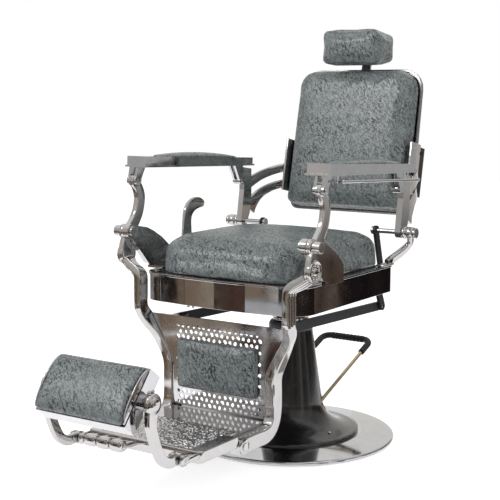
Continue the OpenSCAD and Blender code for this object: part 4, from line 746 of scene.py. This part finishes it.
# Sewn lines: round the seat below its shoulder, up the seat's rear corners, round the headrest and the calf pad
seatTop = seat["under"] + seat["side"] - seat["seamDrop"]
seatLoop = [(x, y + seat["middle"], seatTop) for x, y, z in seamLoop(seat, 4, 0, 90, 31)]
sewSeam(seatPiece, seatLoop, seat["seamWidth"], seat["seamDepth"], 0.9)
for x in (-seat["width"] / 2, seat["width"] / 2):
    sewSeam(seatPiece, [(x, 92, 515), (x, 92, seatTop)], 2.6, 1.8, 0.7, closed=False)
sewSeam(headPiece, lifted(seamLoop(head, -3, head["side"] - 7, 13), headPlace), head["weltWidth"],
        -head["weltHeight"], 0.0)
sewSeam(headPiece, lifted(seamLoop(head, 2, 34, 15), headPlace), 2.4, 1.6, 0.8)
sewSeam(calfPiece, lifted(seamLoop(calf, -1, 10, 12), calfPlace), 2.2, 1.4, 0.9)
print("soft pieces ready")

# Side irons: one long cast bar from the armrest pivot, through an S and a scroll, down two bends to the toe
ironRows = [
    (296, -339, 762, 7.5, 14), (296, -338, 752, 7.5, 16), (296, -331, 742, 7, 15), (296, -322, 726, 7, 16),
    (296, -317, 708, 7, 17), (296, -319, 688, 7, 17), (296, -327, 664, 7, 17), (296, -341, 642, 7, 17),
    (296, -358, 622, 7.5, 18), (296, -371, 600, 7.5, 18), (296, -379, 577, 8, 20), (294, -379, 556, 8.5, 22),
    (288, -378, 541, 9, 22), (270, -382, 527, 10, 20), (247, -386, 514, 10.5, 18.5),
    (236, -388, 498, 10.5, 18), (236, -388, 456, 10.5, 18), (235.5, -388, 416, 10.5, 18),
    (229, -371, 384, 11.5, 18.5), (204, -354, 346, 13, 19), (178, -347, 300, 14.5, 20),
    (165.5, -347, 266, 15, 20), (165, -347, 225, 15, 20), (165, -347.5, 185, 15, 20), (165, -353, 155, 15, 19),
    (165, -369, 134, 15, 19), (165, -397, 125, 15, 20), (165, -440, 125, 14.5, 20), (165, -485, 125, 14.5, 20),
    (165, -512, 125, 14.5, 20), (165, -521, 125, 14, 18),
]
fluteShares = [-0.66, 0.0, 0.66]  # shares of the half width where a flute's ridge runs
rimShares = [-0.8, 0.8]  # and where the twin rims of the ribbon above the knuckle run
castingSharp = 50  # angle from which a casting's edge shows as sharp
frontPivot, armPivot, rearPivot = (289, -380, 618), (289, -339, 754), (280.5, 147, 600)
scroll = {"y": -374, "z": 556, "beads": 8, "ring": 17, "bead": 4.6}


# Rows of a thin ridge that follows part of a bar, at a share of its half width
def ridgeRows(rows, start, stop, share, proud, half):
    ridge = []
    for i in range(start, stop):
        before, here, after = (Vector(rows[k][:3]) for k in (i - 1, i, i + 1))
        across, thick = barDirections(before, after)
        spot = here + thick * (rows[i][3] + proud) + across * (rows[i][4] * share)
        ridge.append((*spot, half, half * 1.15))
    return ridge


for name, mirrored in sides:
    bm = bmesh.new()
    sweepBar(bm, ironRows, steps=5, segments=32, squareness=9)
    for share in fluteShares:
        sweepBar(bm, ridgeRows(ironRows, 12, 18, share, 0.4, 3.4), steps=5, segments=8, squareness=2)
    for share in rimShares:
        sweepBar(bm, ridgeRows(ironRows, 2, 8, share, -0.4, 1.7), steps=4, segments=8, squareness=2)
    # Pivot boss, armrest knuckle and the rimmed scroll disc with its rosette
    turned(bm, [(0, 0), (0, 19), (1, 20), (13, 20), (14, 19), (14, 0)], frontPivot)
    turned(bm, [(-1, 0), (-1, 15), (0.5, 17), (13, 17), (15, 15), (15, 0)], armPivot)
    turned(bm, [(0, 0), (0, 29), (1.5, 30), (15.5, 30), (18, 28.5), (18, 25), (15.8, 23), (15.6, 11), (17.5, 9.5),
                (18.4, 6), (18.6, 0)], (288.6, scroll["y"], scroll["z"]))
    for k in range(scroll["beads"]):
        a = math.radians(360 / scroll["beads"] * k + 12)
        turned(bm, ballProfile(scroll["bead"], 0.7), (304, scroll["y"] + scroll["ring"] * math.cos(a),
                                                      scroll["z"] + scroll["ring"] * math.sin(a)), steps=10)
    # Toe flange round the foot bolt
    turned(bm, [(0, 0), (0, 19.5), (1, 20.5), (2.6, 20.5), (3.4, 19), (3.4, 0)], (178.6, -502, 125))
    makePiece(bm, "sideIron" + name, platedCasting, "leg_frame", ["side_iron_" + name.lower()], mirrored,
              castingSharp)

# Yoke arms: flat-faced J irons from the hinge rod to the leg rest's axle
yokeRows = [
    (156, -722, 152, 7.5, 12), (156, -736, 152, 7.5, 13), (156, -753, 153.5, 7.5, 12.5),
    (156, -770, 153, 7.5, 12.5), (156, -787, 157.5, 7.5, 12.5), (156, -805, 172, 7.5, 12.5),
    (156, -822, 204, 7.5, 12.5), (156, -834, 238, 7.5, 13), (156, -838, 258, 7.5, 14.5),
    (156, -836, 280, 7.5, 17), (156, -833, 300, 7.5, 18),
]
restPivot = {"y": -832, "z": 304}
cluster = {"beads": 9, "ring": 19.5, "bead": 6.4,
           "leaves": [(-8, 27, 6), (4, 28, 5), (-4, -26, 7), (-12, -21, 5.5), (6, -24, 5.5)]}
for name, mirrored in sides:
    bm = bmesh.new()
    sweepBar(bm, yokeRows, steps=5, segments=32, squareness=9)
    turned(bm, [(0, 0), (0, 23.5), (1.5, 25), (13, 25), (15, 23.5), (15.4, 18), (17, 16.5), (19, 15), (20.5, 11),
                (21, 0)], (148.6, restPivot["y"], restPivot["z"]))
    turned(bm, [(0, 0), (0, 15), (1, 16), (13.4, 16), (14.4, 15), (14.4, 0)], (148.8, -736, 152))
    # Leafy cluster of beads where the arm carries the leg rest
    for k in range(cluster["beads"]):
        a = math.radians(360 / cluster["beads"] * k)
        turned(bm, ballProfile(cluster["bead"], 0.8), (158, restPivot["y"] + cluster["ring"] * math.cos(a),
                                                       restPivot["z"] + cluster["ring"] * math.sin(a)), steps=10)
    for dy, dz, radius in cluster["leaves"]:
        turned(bm, ballProfile(radius, 0.8), (155, restPivot["y"] + dy, restPivot["z"] + dz), steps=10)
    makePiece(bm, "yokeArm" + name, platedCasting, "yoke", ["yoke_arm_" + name.lower()], mirrored,
              castingSharp)

# Recline lever: rises beside the seat, widens and hooks back into a flat hand grip
leverRows = [
    (-267.6, -150, 452, 3.2, 14), (-267.6, -148, 480, 3.6, 19), (-267.6, -144, 520, 3.8, 22),
    (-267.6, -141, 560, 3.8, 23), (-267.6, -140, 600, 4, 20), (-267.6, -139, 628, 4.2, 18),
    (-267.6, -134, 649, 4.8, 19), (-267.6, -122, 664, 5.5, 19.5), (-267.6, -105, 672, 6, 18.5),
    (-267.6, -86, 674, 6.5, 16), (-267.6, -70, 671, 6, 12), (-267.6, -60, 667, 4.5, 7),
]
bm = bmesh.new()
sweepBar(bm, leverRows, steps=5, segments=28, squareness=7)
turned(bm, [(-3.5, 0), (-3.5, 16), (-2.7, 17), (2.7, 17), (3.5, 16), (3.5, 0)], (-267.6, -150, 468))
makePiece(bm, "reclineLever", platedCasting, "recline_lever", ["recline_lever"])

# Rear brackets: a barrel on the rear pin and a curved arm down to the apron
rearRows = [
    (297.3, 152, 604, 8.5, 15), (296, 160, 592, 8.5, 14), (291, 174, 577, 8.5, 12.5), (283, 178, 561, 8.5, 12),
    (271, 166, 545, 8.5, 12), (259, 150, 531, 8.5, 12.5), (250, 134, 520, 8, 13), (246.5, 116, 513, 7, 12),
]
for name, mirrored in sides:
    bm = bmesh.new()
    sweepBar(bm, rearRows, steps=5, segments=20, squareness=3.4)
    turned(bm, [(0, 0), (0, 15.5), (1.5, 17), (10, 17), (11.5, 15.4), (13, 17), (31, 17), (33.6, 15.5), (33.6, 0)],
           rearPivot)
    roundedBox(bm, (237, 66, 508.3), (265, 126, 515), 2.6)
    for y in (76, 94):
        turned(bm, [(0, 0), (0, 5), (2.6, 4.2), (3.4, 0)], (252, y, 514.6), (0, 0, 1), 16)
    makePiece(bm, "rearBracket" + name, platedCasting, "seat", ["rear_bracket_" + name.lower()], mirrored,
              castingSharp)

# Back arms: two curved bars from each strap to an upright plate beside the back
barRows = {
    "upper": [(271, 187, 715, 6, 18), (269, 206, 722, 6, 16.5), (264, 240, 734, 6, 15), (254, 276, 744, 6, 14),
              (238, 305, 752, 6, 13.6), (218, 327, 757, 5.4, 13.4)],
    "lower": [(271, 187, 629, 6, 28), (269, 200, 650, 6, 24), (264, 232, 676, 6, 17), (254, 270, 692, 6, 14.5),
              (238, 303, 702, 6, 13.4), (218, 327, 707, 5.4, 13)],
}
for name, mirrored in sides:
    bm = bmesh.new()
    for rows in barRows.values():
        sweepBar(bm, rows, steps=6, segments=20, squareness=4.5)
    roundedBox(bm, (211.9, 8, 48), (218.7, 70.2, 212), 2.0, backFrame)
    for z in (68, 192):
        turned(bm, [(0, 0), (0, 5), (1.6, 4.4), (2.6, 0)], lifted([(218.5, 30, z)], backFrame)[0], steps=16)
    makePiece(bm, "backArm" + name, platedCasting, "back", ["back_arm_" + name.lower()], mirrored,
              castingSharp)
print("castings ready")

# Foot plate: a rounded pan whose top is cast in dense leafy relief, with hinge blocks along its front
plate = {"halfWidth": 176, "inner": 149.7, "front": -680, "rear": -481, "step": -524.3, "top": 156, "low": 126,
         "corner": 15, "edge": 3, "rim": 8, "relief": 3.4, "sink": 0.3, "leaf": 11, "bendSize": 20, "bend": 6,
         "veinSize": 6, "cells": (150, 80)}
hingeSpans = [(-48, -9), (-89, -51), (-130, -92), (-148.4, -131), (-176, -163.9), (131, 148.4), (163.9, 176)]
bm = bmesh.new()
roundedBox(bm, (-plate["halfWidth"], plate["front"], plate["low"]),
           (plate["halfWidth"], plate["step"], plate["top"]), 0)
corners = [e for e in bm.edges if abs(e.verts[0].co.z - e.verts[1].co.z) > 0.02 and e.verts[0].co.y < -0.6]
roundEdges(bm, corners, plate["corner"], 8)
upper = [e for e in bm.edges if all(v.co.z > (plate["top"] - 0.5) * mm for v in e.verts)]
lower = [e for e in bm.edges if all(v.co.z < (plate["low"] + 0.5) * mm for v in e.verts)]
roundEdges(bm, upper + lower, plate["edge"], 3)
roundedBox(bm, (-plate["inner"], plate["step"] - 2, plate["low"]),
           (plate["inner"], plate["rear"], plate["top"] - 0.4), 2.4)
for x0, x1 in hingeSpans:
    inset = (x1 - x0) * 0.25
    roundedBox(bm, (x0, -750, 138.2), (x1, -722, 166), 8.0, segments=4)
    roundedBox(bm, (x0 + inset, -738, 138.6), (x1 - inset, -676, 152), 3.0, segments=2)
makePiece(bm, "footPlatePan", platedCasting, "leg_frame", ["foot_plate"], sharp=32)

bm = bmesh.new()
reliefHalf = plate["inner"] - plate["rim"]
reliefLength = plate["rear"] - plate["front"] - 2 * plate["rim"]
bmesh.ops.create_grid(bm, x_segments=plate["cells"][0], y_segments=plate["cells"][1], size=0.5)
bmesh.ops.scale(bm, vec=(2 * reliefHalf * mm, reliefLength * mm, 1.0), verts=bm.verts)
bmesh.ops.translate(bm, vec=(0, (plate["rear"] + plate["front"]) / 2 * mm, plate["top"] * mm), verts=bm.verts)
for vert in bm.verts:
    x, y = vert.co.x / mm, vert.co.y / mm
    spot = Vector((vert.co.x, vert.co.y, 0.0))
    coarse = spot / (plate["bendSize"] * mm)
    bend = Vector((noise.noise(coarse), noise.noise(coarse + Vector((5, 3, 1))), 0.0)) * (plate["bend"] * mm)
    cells, _ = noise.voronoi((spot + bend) / (plate["leaf"] * mm))
    vein = abs(noise.noise((spot + bend * 2) / (plate["veinSize"] * mm)))
    dome = min(1.0, max(0.0, (cells[1] - cells[0]) * 2.4))
    fromEnd = min(y - plate["front"] - plate["rim"], plate["rear"] - plate["rim"] - y)
    edge = min(1.0, (reliefHalf - abs(x)) / 4, fromEnd / 4)
    vert.co.z += (plate["relief"] * dome * (0.75 + 0.5 * vein) * max(edge, 0.0) - plate["sink"]) * mm
makePiece(bm, "footPlateRelief", platedCasting, "leg_frame", sharp=60)

# Leg rest ends: half-round chromed cheeks with a line of pale stitches beside them
cheek = {"halfWidth": 134.6, "thick": 4.4, "inset": 3.0, "proud": 2.5, "steps": 32, "edge": 1.2, "behind": 2,
         "foot": 29.4}
half = rest["length"] / 2 - cheek["inset"]
arcPoints = []
for i in range(cheek["steps"] + 1):
    u = -math.cos(math.pi * i / cheek["steps"])
    arcPoints.append((half * u, restRise(half * u * rest["length"] / 2 / half) + cheek["proud"]))
for name, mirrored in sides:
    bm = bmesh.new()
    face = bm.faces.new([bm.verts.new(Vector((0.0, (y - cheek["behind"]) * mm, (z + cheek["foot"]) * mm)))
                         for y, z in arcPoints])
    thickened = bmesh.ops.extrude_face_region(bm, geom=[face])
    bmesh.ops.translate(bm, vec=(cheek["thick"] * mm, 0, 0),
                        verts=[g for g in thickened["geom"] if isinstance(g, bmesh.types.BMVert)])
    bmesh.ops.translate(bm, vec=((cheek["halfWidth"] - cheek["thick"]) * mm, 0, 0), verts=bm.verts)
    bmesh.ops.recalc_face_normals(bm, faces=bm.faces)
    rimEdges = [e for e in bm.edges if len(e.link_faces) == 2 and e.calc_face_angle(0) > 1.2]
    roundEdges(bm, rimEdges, cheek["edge"], 2)
    if mirrored:
        bmesh.ops.scale(bm, vec=(-1, 1, 1), verts=bm.verts)
    bmesh.ops.transform(bm, matrix=restFrame, verts=bm.verts)
    makePiece(bm, "legRestCheek" + name, platedSheet, "leg_pad")

# Stitches, drawn twice their real thickness so that they show; the swollen cover carries them a little higher
stitch = {"length": 5.0, "gap": 2.6, "width": 1.7, "height": 1.2, "fromEnd": 9, "foot": 26.4,
          "lift": 4.0, "edge": 0.4}
bm = bmesh.new()
pace = stitch["length"] + stitch["gap"]
travelled, wanted = 0.0, pace / 2
for (y0, z0), (y1, z1) in zip(arcPoints, arcPoints[1:]):
    step = math.hypot(y1 - y0, z1 - z0)
    slope = math.atan2(z1 - z0, y1 - y0)
    while travelled + step > wanted:
        t = (wanted - travelled) / step
        for sign in (-1, 1):
            spot = Vector((sign * (rest["width"] / 2 - stitch["fromEnd"]), y0 + (y1 - y0) * t - cheek["behind"],
                           z0 + (z1 - z0) * t + stitch["foot"] + stitch["lift"])) * mm
            verts = bmesh.ops.create_cube(bm, size=1.0)["verts"]
            bmesh.ops.scale(bm, vec=Vector((stitch["width"], stitch["length"], stitch["height"])) * mm, verts=verts)
            bmesh.ops.transform(bm, verts=verts, matrix=restFrame @ Matrix.Translation(spot)
                                @ Matrix.Rotation(slope, 4, "X"))
        wanted += pace
    travelled += step
roundEdges(bm, bm.edges[:], stitch["edge"], 1)
makePiece(bm, "legRestStitches", paleThread, "leg_pad")
print("leg rest ready")

# The rest of the frame keeps its own shapes: merged, edge-rounded and finished
finishes = {  # material, width of the rounded edge
    "chrome": (platedSheet, 0.8), "casting": (platedCasting, 1.6), "rod": (platedRod, 0.4), "coat": (blackCoat, 0.8),
    "enamel": (coverEnamel, 0.4), "plastic": (capPlastic, 0.6), "rubber": (gripRubber, 0.4), "wood": (plywood, 1.2),
    "shell": (brushedShell, 1.0),
}
dressing = {
    "chrome": ["base_disc", "cover_screws", "seat_apron", "apron_pins", "leg_panel", "panel_rail", "tread_plate",
               "foot_bolts", "leg_rest_tray", "headrest_post", "armrest_left", "armrest_right", "towel_rail",
               "pump_bolts", "ram"],
    "casting": ["front_bracket_left", "front_bracket_right", "front_pins", "lever_bracket", "hinge_rod", "yoke_axle",
                "back_strap_left", "back_strap_right", "rear_pins", "headrest_socket", "arm_pins_left",
                "arm_pins_right", "link_pins"],
    "rod": ["pump_lever", "lever_axle"],
    "coat": ["pump_cylinder", "swivel_hub", "seat_spider", "back_mounts", "back_crank", "link_left", "link_right"],
    "enamel": ["column_cover"],
    "plastic": ["column_cap"],
    "rubber": ["base_ring", "pump_grip"],
    "wood": ["seat_board"],
    "shell": ["back_shell"],
}
plainEdges = {"leg_panel", "base_disc", "column_cover", "pump_lever", "pump_grip", "towel_rail", "apron_pins"}
weldReach = 0.01
flatAngle, brokenAngle = math.radians(1.0), math.radians(35)
for kind, names in dressing.items():
    material, edge = finishes[kind]
    for name in names:
        part = nodes[name]
        part.data.materials.clear()
        part.data.materials.append(material)
        weld = part.modifiers.new("joined", "WELD")
        weld.merge_threshold = weldReach * mm
        if name not in plainEdges:
            flat = part.modifiers.new("flatFaces", "DECIMATE")
            flat.decimate_type = "DISSOLVE"
            flat.angle_limit = flatAngle
            soft = part.modifiers.new("brokenEdges", "BEVEL")
            soft.limit_method = "ANGLE"
            soft.angle_limit = brokenAngle
            soft.width = edge * mm
            soft.segments = 2
        weighted = part.modifiers.new("evenShading", "WEIGHTED_NORMAL")
        weighted.keep_sharp = True
print("frame dressed")
